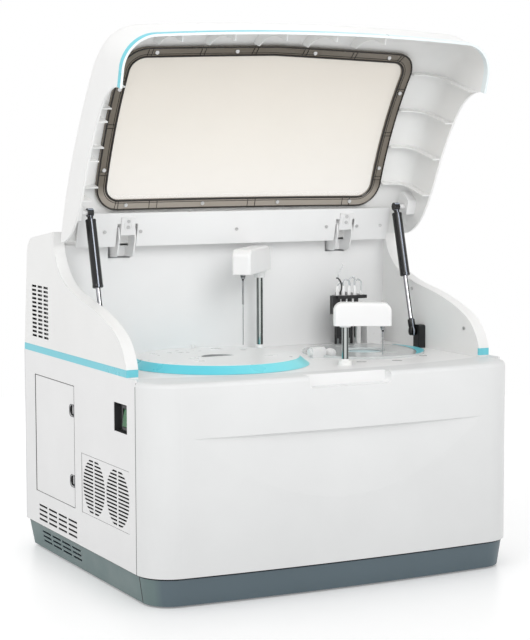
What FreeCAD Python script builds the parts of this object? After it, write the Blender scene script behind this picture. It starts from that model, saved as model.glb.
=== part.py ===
import FreeCAD, Part
import Sketcher
import math
import os
import re

# A benchtop chemistry analyzer with its lid held open by two gas struts.
# Lengths are millimetres, angles degrees. +X is the right of the front, +Y the back, +Z up.
# The origin is on the table, under the middle of the housing.

SIZES = {
    # Housing outline
    "body_width": 690.0,
    "body_depth": 580.0,
    "shell_wall": 4.0,
    "front_bow": 10.0,
    "bow_half_span": 290.0,
    "corner_radius": 58.0,
    "panel_bottom": 49.5,
    "panel_top": 361.3,
    "panel_gap": 0.3,
    "cut_overrun": 5.0,
    # Front cover
    "cover_top": 358.8,
    "seam_setback": 67.0,
    "cover_edge_radius": 8.0,
    "scoop_top": 270.0,
    "scoop_depth": 8.7,
    "scoop_height": 112.0,
    "pull_left": -68.0,
    "pull_width": 153.0,
    "pull_depth": 20.0,
    "pull_height": 20.0,
    "pull_radius": 10.0,
    # Skirt, feet and base
    "skirt_bottom": 3.0,
    "skirt_top": 46.5,
    "skirt_inset": 4.5,
    "skirt_taper": 6.5,
    "skirt_wall": 3.0,
    "skirt_floor_width": 14.0,
    "pan_inset": 16.0,
    "pan_wall": 3.0,
    "foot_inset": 60.0,
    "foot_radius": 22.0,
    "foot_edge": 2.0,
    "stem_radius": 5.0,
    "stem_height": 16.0,
    # Frame
    "post_setback": 37.0,
    "post_width": 20.0,
    "front_post_setback": 75.0,
    "rear_post_setback": 40.0,
    "rail_height": 20.0,
    "beam_y": 150.0,
    "beam_width": 20.0,
    "beam_bottom": 520.0,
    "beam_height": 32.0,
    # Deck and work area walls
    "deck_top": 357.5,
    "deck_wall": 4.0,
    "deck_front_bow": 46.0,
    "back_wall_y": 140.0,
    "back_wall_top": 556.0,
    # Wings
    "wing_thickness": 20.6,
    "wing_front_setback": 101.0,
    "wing_inner_wall": 3.0,
    "wing_foot": 372.0,
    "wing_curve_rear_y": 135.0,
    "wing_top": 580.0,
    "wing_rear_drop": 17.0,
    "wing_rear_corner_y": 258.0,
    "wing_rear_radius": 34.0,
    "stripe_height": 12.2,
    "rear_cover_lip_y": 146.0,
    "rear_cover_wall": 3.0,
    # Vents of the left side
    "wing_vent_y": 164.0,
    "wing_vent_z": 389.0,
    "wing_vent_length": 23.0,
    "wing_vent_height": 4.0,
    "wing_vent_pitch_y": 29.5,
    "wing_vent_pitch_z": 7.4,
    "wing_vent_columns": 3.0,
    "wing_vent_rows": 13.0,
    "low_vent_y": 36.0,
    "low_vent_z": 58.0,
    "low_vent_length": 41.0,
    "low_vent_height": 3.6,
    "low_vent_pitch_y": 48.5,
    "low_vent_pitch_z": 8.4,
    "low_vent_columns": 4.0,
    "low_vent_rows": 4.0,
    "skirt_vent_z": 17.0,
    "skirt_vent_rows": 3.0,
    # Fans and their grille
    "grille_y": -195.0,
    "grille_z": 110.0,
    "grille_length": 205.0,
    "grille_height": 101.0,
    "grille_wall": 3.0,
    "fan_front_y": -147.0,
    "fan_spacing": 103.0,
    "fan_z": 160.0,
    "fan_width": 92.0,
    "fan_depth": 24.0,
    "fan_bore": 44.0,
    "fan_slot_height": 3.2,
    "fan_slot_pitch": 6.2,
    "fan_slot_rows": 15.0,
    "fan_slot_rib": 5.0,
    "fan_vent_radius": 48.5,
    "fan_web": 4.0,
    "fan_spoke": 5.0,
    "rotor_hub_radius": 19.0,
    "rotor_hub_depth": 14.0,
    "rotor_gap": 1.0,
    "rotor_radius": 42.0,
    "rotor_blades": 7.0,
    "rotor_blade_width": 13.0,
    "rotor_blade_wall": 1.8,
    "rotor_pitch_angle": 35.0,
    "rotor_pin_radius": 3.0,
    "running_clearance": 0.05,
    # Side door
    "door_y": 43.0,
    "door_z": 110.0,
    "door_length": 192.0,
    "door_height": 211.0,
    "door_gap": 1.5,
    "door_finger_gap": 3.0,
    "door_notch_depth": 20.0,
    "door_notch_height": 18.0,
    "door_notch_radius": 8.0,
    "door_lower_hinge_z": 156.0,
    "door_upper_hinge_z": 278.0,
    "door_pin_setback": 14.0,
    "door_pin_inside": 2.5,
    "door_pin_radius": 1.5,
    "door_arm_height": 14.0,
    "door_arm_depth": 5.0,
    "door_arm_reach": 12.0,
    "door_lug_height": 4.0,
    "door_lug_gap": 0.5,
    # Power switch
    "switch_y": -189.0,
    "switch_z": 270.0,
    "switch_length": 54.0,
    "switch_height": 47.0,
    "switch_depth": 12.0,
    "switch_tray_wall": 2.0,
    "bezel_length": 30.0,
    "bezel_height": 40.0,
    "bezel_depth": 5.5,
    "bezel_front_margin": 5.0,
    "rocker_length": 20.0,
    "rocker_height": 28.0,
    "rocker_thickness": 3.0,
    "rocker_lift": 4.2,
    "rocker_tilt": 8.0,
    "rocker_gap": 1.2,
    "rocker_pin_radius": 1.2,
    # Lid shell
    "hinge_y": 120.0,
    "hinge_z": 578.0,
    "lid_angle": 74.0,
    "lid_top_radius": 750.0,
    "lid_nose_radius": 140.0,
    "lid_blend_angle": 22.0,
    "lid_nose_end_angle": 84.0,
    "lid_top_centre_y": 84.5,
    "lid_side_top": 574.3,
    "lid_crown": 12.0,
    "lid_rear_y": 134.0,
    "lid_bottom": 362.0,
    "lid_bow_axis_y": -185.0,
    "lid_bow_axis_z": 503.5,
    "lid_rear_edge_radius": 25.0,
    "lid_nose_edge_radius": 50.0,
    "lid_gap": 2.5,
    "lid_trim_height": 12.0,
    "lid_rib_wall": 2.5,
    "lid_rib_height": 16.0,
    "lid_side_ribs": 4.0,
    "lid_side_rib_setback": 47.0,
    "lid_side_rib_pitch": 73.0,
    "lid_front_rib_pitch": 94.0,
    # Lid window
    "window_side_margin": 61.0,
    "window_rear_y": 77.0,
    "window_front_y": -236.0,
    "window_bow": 9.0,
    "window_radius": 45.0,
    "gasket_width": 20.0,
    "gasket_depth": 7.0,
    "pane_wall": 4.0,
    "pane_seat": 8.0,
    "window_screw_radius": 3.4,
    "window_screw_height": 2.0,
    # Lid inner bar and hinges
    "bar_half_width": 312.0,
    "bar_front_y": 80.0,
    "bar_rear_y": 141.5,
    "bar_bottom": 562.0,
    "bar_wall": 3.0,
    "bar_screw_radius": 3.0,
    "bar_screw_height": 1.6,
    "bar_screw_y": 114.0,
    "hinge_x": 219.0,
    "hinge_notch_half": 19.5,
    "hinge_notch_y": 100.0,
    "ear_half_gap": 13.5,
    "ear_wall": 3.0,
    "ear_radius": 12.0,
    "ear_front_y": 101.0,
    "ear_base_bottom": 534.0,
    "ear_wall_notch_half": 21.5,
    "hinge_pin_radius": 3.0,
    "knuckle_radius": 7.0,
    "knuckle_gap": 0.5,
    "hinge_plate_wall": 3.0,
    "hinge_plate_front_y": 88.0,
    # Gas struts
    "strut_setback": 40.0,
    "strut_low_y": 0.0,
    "strut_low_z": 388.0,
    "strut_top_y": 68.0,
    "strut_top_z": 532.0,
    "tube_radius": 9.0,
    "tube_wall": 1.5,
    "tube_start": 105.0,
    "tube_end": 223.0,
    "tube_gland": 12.0,
    "tube_cap": 8.0,
    "rod_radius": 4.0,
    "rod_end": 135.0,
    "piston_length": 6.0,
    "piston_clearance": 0.1,
    "socket_radius": 7.5,
    "socket_half_width": 5.0,
    "socket_neck": 22.0,
    "socket_neck_radius": 6.0,
    "stud_radius": 4.0,
    "low_bracket_y": -13.0,
    "low_bracket_length": 21.0,
    "low_bracket_top": 400.0,
    "low_bracket_depth": 13.0,
    "top_bracket_depth": 18.0,
    "top_bracket_length": 56.0,
    "top_bracket_height": 44.0,
    # Reagent disc
    "reagent_x": -120.0,
    "reagent_y": -55.0,
    "reagent_cover_radius": 157.0,
    "reagent_cover_top_radius": 140.0,
    "reagent_cover_height": 13.2,
    "reagent_cover_wall": 3.0,
    "reagent_bowl_radius": 148.0,
    "reagent_bowl_wall": 8.0,
    "reagent_bowl_bottom": 240.0,
    "bowl_floor": 6.0,
    "carousel_radius": 140.0,
    "carousel_plate": 4.0,
    "carousel_low_z": 264.0,
    "carousel_top_z": 338.0,
    "carousel_hub_radius": 22.0,
    "bottle_ring_radius": 103.0,
    "bottle_hole_radius": 8.0,
    "bottle_holes": 36.0,
    "bottle_phase": 8.5,
    "probe_hole_radius": 6.0,
    "shaft_radius": 6.0,
    "shaft_depth": 20.0,
    "reagent_motor_width": 60.0,
    "reagent_motor_height": 60.0,
    "grip_x": -120.0,
    "grip_y": -60.0,
    "grip_radius": 30.0,
    "grip_depth": 9.0,
    "knob_x": -106.0,
    "knob_y": 75.0,
    "knob_radius": 4.0,
    "knob_height": 5.0,
    # Reaction disc
    "reaction_x": 187.0,
    "reaction_y": -22.0,
    "reaction_cover_radius": 110.0,
    "reaction_cover_bore": 40.0,
    "reaction_cover_height": 4.0,
    "reaction_bowl_radius": 100.0,
    "reaction_bowl_wall": 8.0,
    "reaction_bowl_bottom": 266.0,
    "cuvette_ring_radius": 77.0,
    "cuvette_ring_width": 26.0,
    "cuvette_ring_bottom": 326.0,
    "cuvette_ring_top": 352.0,
    "cuvette_count": 40.0,
    "cuvette_width": 8.0,
    "cuvette_depth": 20.0,
    "cuvette_phase": -92.2,
    "cover_slot_x": 204.3,
    "cover_slot_y": -74.5,
    "cover_slot_length": 41.0,
    "cover_slot_width": 6.0,
    "cover_slot_angle": -9.8,
    "reaction_web": 4.0,
    "reaction_hub_radius": 34.0,
    "reaction_motor_width": 50.0,
    "reaction_motor_height": 50.0,
    # Pipetting arms
    "left_arm_x": 40.5,
    "left_arm_y": 101.5,
    "left_arm_length": 122.0,
    "left_arm_angle": -130.8,
    "left_head_bottom": 504.0,
    "left_head_height": 44.0,
    "left_boss_height": 14.0,
    "left_sleeve_end": 451.0,
    "left_probe_tip": 379.5,
    "left_neck_height": 0.5,
    "right_arm_x": 64.0,
    "right_arm_y": -172.0,
    "right_arm_length": 64.0,
    "right_arm_angle": -27.0,
    "right_head_bottom": 425.0,
    "right_head_height": 39.0,
    "right_boss_height": 3.0,
    "right_sleeve_end": 405.0,
    "right_probe_tip": 374.5,
    "right_neck_height": 8.0,
    "column_radius": 6.0,
    "column_foot": 205.0,
    "column_in_head": 26.0,
    "head_width": 34.0,
    "head_column_overhang": 20.0,
    "head_probe_overhang": 14.0,
    "head_end_radius": 15.0,
    "head_edge_radius": 5.0,
    "boss_radius": 9.5,
    "probe_radius": 0.8,
    "probe_sleeve_radius": 1.8,
    "probe_collar_radius": 5.0,
    "probe_collar_height": 8.0,
    "arm_drive_width": 50.0,
    "arm_drive_depth": 44.0,
    "arm_drive_bottom": 120.0,
    "arm_neck_radius": 11.5,
    # Wash station
    "wash_tower_x": 222.0,
    "wash_tower_y": 111.0,
    "wash_tower_width": 24.5,
    "wash_tower_depth": 26.0,
    "wash_tower_top": 425.0,
    "wash_rod_radius": 4.0,
    "wash_rod_height": 70.0,
    "wash_plate_z": 449.0,
    "wash_plate_wall": 6.0,
    "wash_bar_left": 172.0,
    "wash_bar_width": 58.0,
    "wash_bar_front": 44.0,
    "wash_bar_depth": 23.0,
    "wash_neck_width": 22.0,
    "wash_block_left": 164.0,
    "wash_block_width": 12.0,
    "wash_block_front": 48.0,
    "wash_block_bottom": 421.0,
    "wash_nozzles": 4.0,
    "wash_nozzle_x": 197.0,
    "wash_sleeve_radius": 4.2,
    "wash_sleeve_length": 50.0,
    "wash_needle_radius": 1.2,
    "wash_needle_tip": 366.0,
    "wash_hole_radius": 5.0,
    "wash_tube_radius": 1.5,
    "wash_tube_rise": 30.0,
    "wash_tube_reach": 9.0,
    "side_post_x": 251.0,
    "side_post_y": 110.0,
    "side_post_radius": 7.0,
    "side_post_height": 61.5,
    "side_block_x": 268.0,
    "side_block_y": 113.0,
    "side_block_width": 32.0,
    "side_block_depth": 20.0,
    "well_x": 63.0,
    "well_y": -52.0,
    "well_radius": 9.0,
    "well_length": 26.0,
    "well_tip_length": 4.0,
    "dome_radius": 10.5,
    "dome_x": 105.0,
    "dome_y": -47.0,
    # Rear panel and what is mounted on it
    "rear_panel_wall": 4.0,
    "inlet_x": -250.0,
    "inlet_z": 110.0,
    "inlet_width": 48.0,
    "inlet_height": 28.0,
    "inlet_depth": 30.0,
    "inlet_socket_margin": 5.0,
    "inlet_pin_radius": 2.0,
    "port_x": 200.0,
    "port_z": 100.0,
    "port_width": 130.0,
    "port_height": 46.0,
    "port_depth": 22.0,
    "port_pitch": 30.0,
    "port_count": 4.0,
    "port_radius": 6.0,
    "port_bore": 3.0,
    "port_length": 16.0,
    # Electronics and pumps inside
    "supply_x": 60.0,
    "supply_y": 120.0,
    "supply_width": 220.0,
    "supply_depth": 120.0,
    "supply_height": 95.0,
    "board_half_width": 110.0,
    "board_bottom": 170.0,
    "board_height": 140.0,
    "board_wall": 1.6,
    "board_standoff": 14.0,
    "standoff_radius": 3.5,
    "board_margin": 10.0,
    "pump_x": -310.0,
    "pump_y": 66.0,
    "pump_width": 44.0,
    "pump_pitch": 56.0,
    "pump_height": 150.0,
    "pump_count": 3.0,
    "syringe_radius": 9.0,
    "syringe_height": 70.0,
    # Wing screws
    "wing_screw_radius": 3.2,
    "wing_screw_height": 1.8,
    "wing_screw_front_y": -142.0,
    "wing_screw_front_z": 405.0,
    "wing_screw_rear_y": 34.0,
    "wing_screw_rear_z": 464.0,
}

# The S-shaped upper edge of a wing, as shares of its run (back) and its rise (up).
WING_CURVE_SHARES = [
    (0.0, 0.0), (0.04, 0.135), (0.105, 0.236), (0.213, 0.322), (0.475, 0.442),
    (0.759, 0.543), (0.861, 0.615), (0.938, 0.721), (0.972, 0.80), (0.991, 0.88), (1.0, 0.98),
]
# Screws of the lid's bar and window, as shares of their half widths.
BAR_SCREW_SHARES = (-0.837, -0.62, -0.017, 0.577, 0.784, 0.947)
HINGE_SCREW_SHARES = (0.25, 0.68)
WINDOW_SCREW_SHARES = (-0.79, -0.265, 0.265, 0.79)
WINDOW_SIDE_SCREW_SHARES = (0.24, 0.72)

doc = FreeCAD.newDocument("chemistry_analyzer")
sheet = doc.addObject("Spreadsheet::Sheet", "Sizes")
for row, (alias, value) in enumerate(SIZES.items(), start=1):
    sheet.set(f"A{row}", alias)
    sheet.set(f"B{row}", str(value))
    sheet.setAlias(f"B{row}", alias)
doc.recompute()

UP = FreeCAD.Vector(0, 0, 1)
RIGHT = FreeCAD.Vector(1, 0, 0)
BACK = FreeCAD.Vector(0, 1, 0)
ZERO = FreeCAD.Vector(0, 0, 0)
NODES = {}


def mm(alias):
    """One size, read from the sheet."""
    return float(sheet.get(alias))


def count(alias):
    """One whole number, read from the sheet."""
    return int(round(mm(alias)))


def point(x, y, z):
    return FreeCAD.Vector(x, y, z)


def formula(text):
    """An expression in which each word names a cell of the sheet."""
    return re.sub(r"[a-z_][a-z0-9_]*", lambda word: "Sizes." + word.group(0), text)


# Objects of the document, bound to the sheet

def primitive(kind, name, corner, **sizes):
    """A Part primitive whose sizes and place follow expressions of the sheet."""
    item = doc.addObject(kind, name)
    for size_name, text in sizes.items():
        item.setExpression(size_name, formula(text))
    for axis, text in zip("xyz", corner):
        item.setExpression("Placement.Base." + axis, formula(text))
    return item


def box(name, corner, size):
    length, width, height = size
    return primitive("Part::Box", name, corner, Length=length, Width=width, Height=height)


def cylinder(name, corner, radius, height, along="z"):
    item = primitive("Part::Cylinder", name, corner, Radius=radius, Height=height)
    turns = {
        "x": FreeCAD.Rotation(BACK, 90),
        "y": FreeCAD.Rotation(RIGHT, -90),
        "z": FreeCAD.Rotation(UP, 0),
    }
    item.Placement = FreeCAD.Placement(ZERO, turns[along])
    return item


def cone(name, corner, low_radius, high_radius, height):
    return primitive("Part::Cone", name, corner, Radius1=low_radius, Radius2=high_radius, Height=height)


def fuse(name, items):
    item = doc.addObject("Part::MultiFuse", name)
    item.Shapes = items
    return item


def cut(name, base, tools):
    item = doc.addObject("Part::Cut", name)
    item.Base = base
    item.Tool = tools[0] if len(tools) == 1 else fuse(name + "_tools", tools)
    return item


def common(name, first, second):
    item = doc.addObject("Part::Common", name)
    item.Base = first
    item.Tool = second
    return item


def group(name, items):
    """Separate solids that share one node."""
    item = doc.addObject("Part::Compound", name)
    item.Links = items
    return item


def feature(name, shape):
    """A shape made by Part's own functions from sizes read from the sheet."""
    item = doc.addObject("Part::Feature", name)
    item.Shape = shape
    return item


def node(name, item):
    """Marks a finished sub-part and gives it its name."""
    item.Label = name
    NODES[name] = item
    return item


def new_body(name):
    return doc.addObject("PartDesign::Body", name + "_body")


def sketch_on(body, name, role, offset=None):
    """A sketch on one of the body's own origin planes, moved along its normal."""
    sketch = body.newObject("Sketcher::SketchObject", name)
    plane = next(item for item in body.Origin.OriginFeatures if item.Role == role)
    sketch.AttachmentSupport = [(plane, "")]
    sketch.MapMode = "FlatFace"
    if offset:
        sketch.setExpression("AttachmentOffset.Base.z", formula(offset))
    return sketch


def bind(sketch, kind, *members, text):
    """Adds one constraint whose value follows an expression."""
    index = sketch.addConstraint(Sketcher.Constraint(kind, *members, 1.0))
    sketch.setExpression(f"Constraints[{index}]", formula(text))


def sketch_rectangle(sketch, left, low, width, height):
    corners = [point(0, 0, 0), point(9, 0, 0), point(9, 9, 0), point(0, 9, 0)]
    first = sketch.GeometryCount
    for start, end in zip(corners, corners[1:] + corners[:1]):
        sketch.addGeometry(Part.LineSegment(start, end), False)
    for side in range(4):
        sketch.addConstraint(Sketcher.Constraint("Coincident", first + side, 2, first + (side + 1) % 4, 1))
    for side, kind in enumerate(("Horizontal", "Vertical", "Horizontal", "Vertical")):
        sketch.addConstraint(Sketcher.Constraint(kind, first + side))
    bind(sketch, "DistanceX", -1, 1, first, 1, text=left)
    bind(sketch, "DistanceY", -1, 1, first, 1, text=low)
    bind(sketch, "DistanceX", first, 1, first, 2, text=width)
    bind(sketch, "DistanceY", first + 1, 1, first + 1, 2, text=height)


def pad(body, sketch, length):
    item = body.newObject("PartDesign::Pad", sketch.Name + "_pad")
    item.Profile = sketch
    item.setExpression("Length", formula(length))
    body.Tip = item
    return item


def pocket(body, sketch, length):
    """A pocket that cuts both ways from its sketch, so it always meets the solid."""
    item = body.newObject("PartDesign::Pocket", sketch.Name + "_pocket")
    item.Profile = sketch
    item.setExpression("Length", formula(length))
    item.Midplane = True
    body.Tip = item
    return item


# Shapes made from points

def rounded_wire(corners, plane):
    """A closed outline of straight runs with rounded corners.

    Each corner is (first, second, radius) in the plane "xy" or "yz".
    """
    def place(first, second):
        return point(first, second, 0) if plane == "xy" else point(0, first, second)

    spots = [place(first, second) for first, second, radius in corners]
    total = len(spots)
    starts = []
    ends = []
    arcs = []
    for index, (first, second, radius) in enumerate(corners):
        spot = spots[index]
        before = (spots[index - 1] - spot).normalize()
        after = (spots[(index + 1) % total] - spot).normalize()
        if radius == 0:
            starts.append(spot)
            ends.append(spot)
            continue
        half = before.getAngle(after) / 2
        start = spot + before * (radius / math.tan(half))
        end = spot + after * (radius / math.tan(half))
        centre = spot + (before + after).normalize() * (radius / math.sin(half))
        middle = centre + (spot - centre).normalize() * radius
        arcs.append(Part.Arc(start, middle, end).toShape())
        starts.append(start)
        ends.append(end)
    lines = []
    for index in range(total):
        begin = ends[index]
        finish = starts[(index + 1) % total]
        if (finish - begin).Length > 1e-6:
            lines.append(Part.LineSegment(begin, finish).toShape())
    return Part.Wire(Part.__sortEdges__(lines + arcs))


def prism(wire, start, length, along):
    """The solid between a wire moved to start and the same wire length further on."""
    face = Part.Face(wire)
    face.translate(along * start)
    return face.extrude(along * length)


def slab(x_range, y_range, z_range):
    """A plain block between two corners."""
    low = point(x_range[0], y_range[0], z_range[0])
    lengths = [high - start for start, high in (x_range, y_range, z_range)]
    return Part.makeBox(*lengths, low)


def rod(start, direction, radius, length):
    return Part.makeCylinder(radius, length, start, direction)


def mirrored(shape):
    """The shape's twin on the other side of the middle plane."""
    return shape.mirror(ZERO, RIGHT)


def both_sides(shape):
    return Part.makeCompound([shape, mirrored(shape)])


def front_y():
    return -mm("body_depth") / 2


def rear_y():
    return mm("body_depth") / 2


def half_width():
    return mm("body_width") / 2


def inner_half():
    """Half the width between the wings' inner faces."""
    return half_width() - mm("wing_thickness")


def seam_y():
    return front_y() + mm("seam_setback")


def wing_front_y():
    return front_y() + mm("wing_front_setback")


def bow_radius():
    span = mm("bow_half_span")
    return (span ** 2 + mm("front_bow") ** 2) / (2 * mm("front_bow"))


def plan_wire(inset, rear):
    """The housing's outline from above: bowed front, round front corners, straight sides."""
    bow = bow_radius()
    corner = mm("corner_radius")
    corner_x = half_width() - corner
    bow_centre = point(0, front_y() + bow, 0)
    corner_y = bow_centre.y - math.sqrt((bow - corner) ** 2 - corner_x ** 2)
    corner_centre = point(corner_x, corner_y, 0)
    outward = (corner_centre - bow_centre).normalize()
    front_touch = bow_centre + outward * (bow - inset)
    side_touch = point(half_width() - inset, corner_y, 0)
    turn = math.atan2(outward.y, outward.x) / 2
    reach = corner - inset
    middle = corner_centre + point(reach * math.cos(turn), reach * math.sin(turn), 0)

    def twin(spot):
        return point(-spot.x, spot.y, 0)

    rear_right = point(half_width() - inset, rear, 0)
    edges = [
        Part.LineSegment(rear_right, side_touch),
        Part.Arc(side_touch, middle, front_touch),
        Part.Arc(front_touch, point(0, front_y() + inset, 0), twin(front_touch)),
        Part.Arc(twin(front_touch), twin(middle), twin(side_touch)),
        Part.LineSegment(twin(side_touch), twin(rear_right)),
        Part.LineSegment(twin(rear_right), rear_right),
    ]
    return Part.Wire([edge.toShape() for edge in edges])


def deck_front_wire(rear):
    """The region behind the deck's curved front edge, from above."""
    side = inner_half()
    middle = wing_front_y() - mm("deck_front_bow")
    edges = [
        Part.Arc(point(-side, wing_front_y(), 0), point(0, middle, 0), point(side, wing_front_y(), 0)),
        Part.LineSegment(point(side, wing_front_y(), 0), point(side, rear, 0)),
        Part.LineSegment(point(side, rear, 0), point(-side, rear, 0)),
        Part.LineSegment(point(-side, rear, 0), point(-side, wing_front_y(), 0)),
    ]
    return Part.Wire([edge.toShape() for edge in edges])


def slot_field(x_range, first_y, first_z, size, pitch, columns, rows):
    """A field of upright rows of short slots, cut through one side wall."""
    slots = []
    for column in range(columns):
        for line in range(rows):
            low_y = first_y + column * pitch[0]
            low_z = first_z + line * pitch[1]
            slots.append(slab(x_range, (low_y, low_y + size[0]), (low_z, low_z + size[1])))
    return Part.makeCompound(slots)


# Housing

def make_skirt():
    over = mm("cut_overrun")
    wall = mm("skirt_wall")
    bottom = mm("skirt_bottom")
    height = mm("skirt_top") - bottom
    slope = mm("skirt_taper") / height

    def tapered(extra, low, high):
        wires = []
        for level in (low, high):
            inset = mm("skirt_inset") + slope * (mm("skirt_top") - level) + extra
            wire = plan_wire(inset, rear_y() - inset)
            wire.translate(UP * level)
            wires.append(wire)
        return Part.makeLoft(wires, True, True)

    skirt = tapered(0, bottom, mm("skirt_top"))
    skirt = skirt.cut(tapered(wall, bottom + wall, mm("skirt_top") + over))
    opening = mm("skirt_inset") + mm("skirt_taper") + mm("skirt_floor_width")
    floor_cut = prism(plan_wire(opening, rear_y() - opening), bottom - over, 2 * over + wall, UP)
    vents = slot_field(
        (-half_width(), -half_width() + mm("skirt_inset") + mm("skirt_taper") + 2 * wall),
        mm("low_vent_y"), mm("skirt_vent_z"),
        (mm("low_vent_length"), mm("low_vent_height")),
        (mm("low_vent_pitch_y"), mm("low_vent_pitch_z")),
        count("low_vent_columns"), count("skirt_vent_rows"),
    )
    node("base_skirt", feature("skirt", skirt.cut(floor_cut).cut(vents)))


def make_base_pan():
    inset = mm("pan_inset")
    level = mm("skirt_bottom") + mm("skirt_wall")
    pan = feature("pan_sheet", prism(plan_wire(inset, rear_y() - inset), level, mm("pan_wall"), UP))
    holes = [
        cylinder("pan_hole", foot_place(x_sign, y_sign, "skirt_bottom"), "stem_radius", "stem_height")
        for x_sign in ("", "-") for y_sign in ("", "-")
    ]
    node("base_pan", cut("pan", pan, holes))


def foot_place(x_sign, y_sign, height):
    return (f"{x_sign}(body_width / 2 - foot_inset)", f"{y_sign}(body_depth / 2 - foot_inset)", height)


def make_feet():
    feet = []
    for x_sign in ("", "-"):
        for y_sign in ("", "-"):
            edge = cone("foot_edge", foot_place(x_sign, y_sign, "0 * foot_edge"),
                        "foot_radius - foot_edge", "foot_radius", "foot_edge")
            pad_part = cylinder("foot_pad", foot_place(x_sign, y_sign, "foot_edge"),
                                "foot_radius", "skirt_bottom + skirt_wall - foot_edge")
            stem = cylinder("foot_stem", foot_place(x_sign, y_sign, "skirt_bottom"),
                            "stem_radius", "stem_height")
            feet.append(fuse("foot", [edge, pad_part, stem]))
    node("levelling_feet", group("feet", feet))


def make_chassis():
    """Four posts, the rails that carry the deck and panels, and the hinge beam."""
    rail_z = "deck_top - deck_wall - rail_height"
    floor_z = "skirt_bottom + skirt_wall + pan_wall"
    front = "front_post_setback - body_depth / 2"
    rear = "body_depth / 2 - rear_post_setback"
    rail_width = "post_setback - shell_wall"
    inner = "(body_width / 2 - post_setback)"
    parts = []
    for left in ("body_width / 2 - post_setback", "post_setback - post_width - body_width / 2"):
        for back in (front, rear):
            parts.append(box("post", (left, back, floor_z),
                             ("post_width", "post_width", rail_z + " - " + floor_z.replace("+", "-"))))
    for left in ("body_width / 2 - post_setback", "shell_wall - body_width / 2"):
        parts.append(box("side_rail", (left, front, rail_z),
                         (rail_width, "body_depth - front_post_setback - rear_panel_wall", "rail_height")))
    for back, width in ((rear, "rear_post_setback - rear_panel_wall"), ("beam_y", "beam_width")):
        parts.append(box("cross_rail", ("-" + inner, back, rail_z), ("2 * " + inner, width, "rail_height")))
    upright_height = "beam_bottom + beam_height - deck_top + deck_wall"
    for left in ("body_width / 2 - post_setback - beam_width", "post_setback - body_width / 2"):
        parts.append(box("hinge_upright", (left, "beam_y", "deck_top - deck_wall"),
                         ("beam_width", "beam_width", upright_height)))
    parts.append(box("hinge_beam", ("-" + inner, "beam_y", "beam_bottom"),
                     ("2 * " + inner, "beam_width", "beam_height")))
    node("chassis_frame", fuse("chassis", parts))


def scoop_wedge(shift):
    """What the flat scoop takes off the front below its crease."""
    over = mm("cut_overrun")
    crease = mm("scoop_top")
    deep = front_y() + mm("scoop_depth") + shift
    foot = crease - mm("scoop_height")
    corners = [
        (front_y() - over, crease + shift, 0),
        (deep, crease + shift, 0),
        (front_y() + shift, foot, 0),
        (front_y() - over, foot, 0),
    ]
    return prism(rounded_wire(corners, "yz"), -half_width(), mm("body_width"), RIGHT)


def pull_block(grow):
    """The finger pull's hollow, or with grow the block that lines it."""
    over = mm("cut_overrun")
    left = mm("pull_left") - grow
    right = mm("pull_left") + mm("pull_width") + grow
    low = mm("cover_top") - mm("pull_height") - grow
    top = mm("cover_top") if grow else mm("cover_top") + over
    back = front_y() + mm("pull_depth") + grow
    block = slab((left, right), (front_y() - over, back), (low, top))
    lower = [
        edge for edge in block.Edges
        if edge.BoundBox.ZMax < low + 0.5 * over and edge.BoundBox.YLength > over
    ]
    return block.makeFillet(mm("pull_radius"), lower)


def make_front_cover():
    over = mm("cut_overrun")
    wall = mm("shell_wall")
    bottom = mm("panel_bottom")
    height = mm("cover_top") - bottom
    outer = prism(plan_wire(0, 0), bottom, height, UP)
    top_edges = [
        edge for edge in outer.Edges
        if edge.BoundBox.ZMin > mm("cover_top") - over and edge.BoundBox.YMin < -over
    ]
    outer = outer.makeFillet(mm("cover_edge_radius"), top_edges)
    behind = slab((-half_width() - over, half_width() + over), (seam_y(), over),
                  (bottom - over, mm("panel_top") + over))
    outer = outer.cut(behind)
    inner = prism(plan_wire(wall, over), bottom - over, height + over - wall, UP)
    outer = outer.cut(scoop_wedge(0))
    inner = inner.cut(scoop_wedge(wall))
    shell = outer.cut(inner)
    shelf = slab(
        (wall - half_width(), half_width() - wall),
        (seam_y(), wing_front_y()),
        (mm("cover_top") - wall, mm("cover_top")),
    )
    shell = shell.fuse(shelf)
    shell = shell.cut(prism(deck_front_wire(rear_y()), mm("cover_top") - 2 * wall, 3 * wall, UP))
    shell = shell.fuse(pull_block(wall).common(outer)).cut(pull_block(0))
    node("front_cover", feature("front_shell", shell.removeSplitter()))


def panel_box(name, side_x):
    return box(
        name,
        (side_x, "seam_setback - body_depth / 2", "panel_bottom"),
        ("shell_wall", "body_depth - seam_setback - rear_panel_wall", "panel_top - panel_bottom"),
    )


def make_right_panel():
    node("right_side_panel", panel_box("right_panel", "body_width / 2 - shell_wall"))


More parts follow.
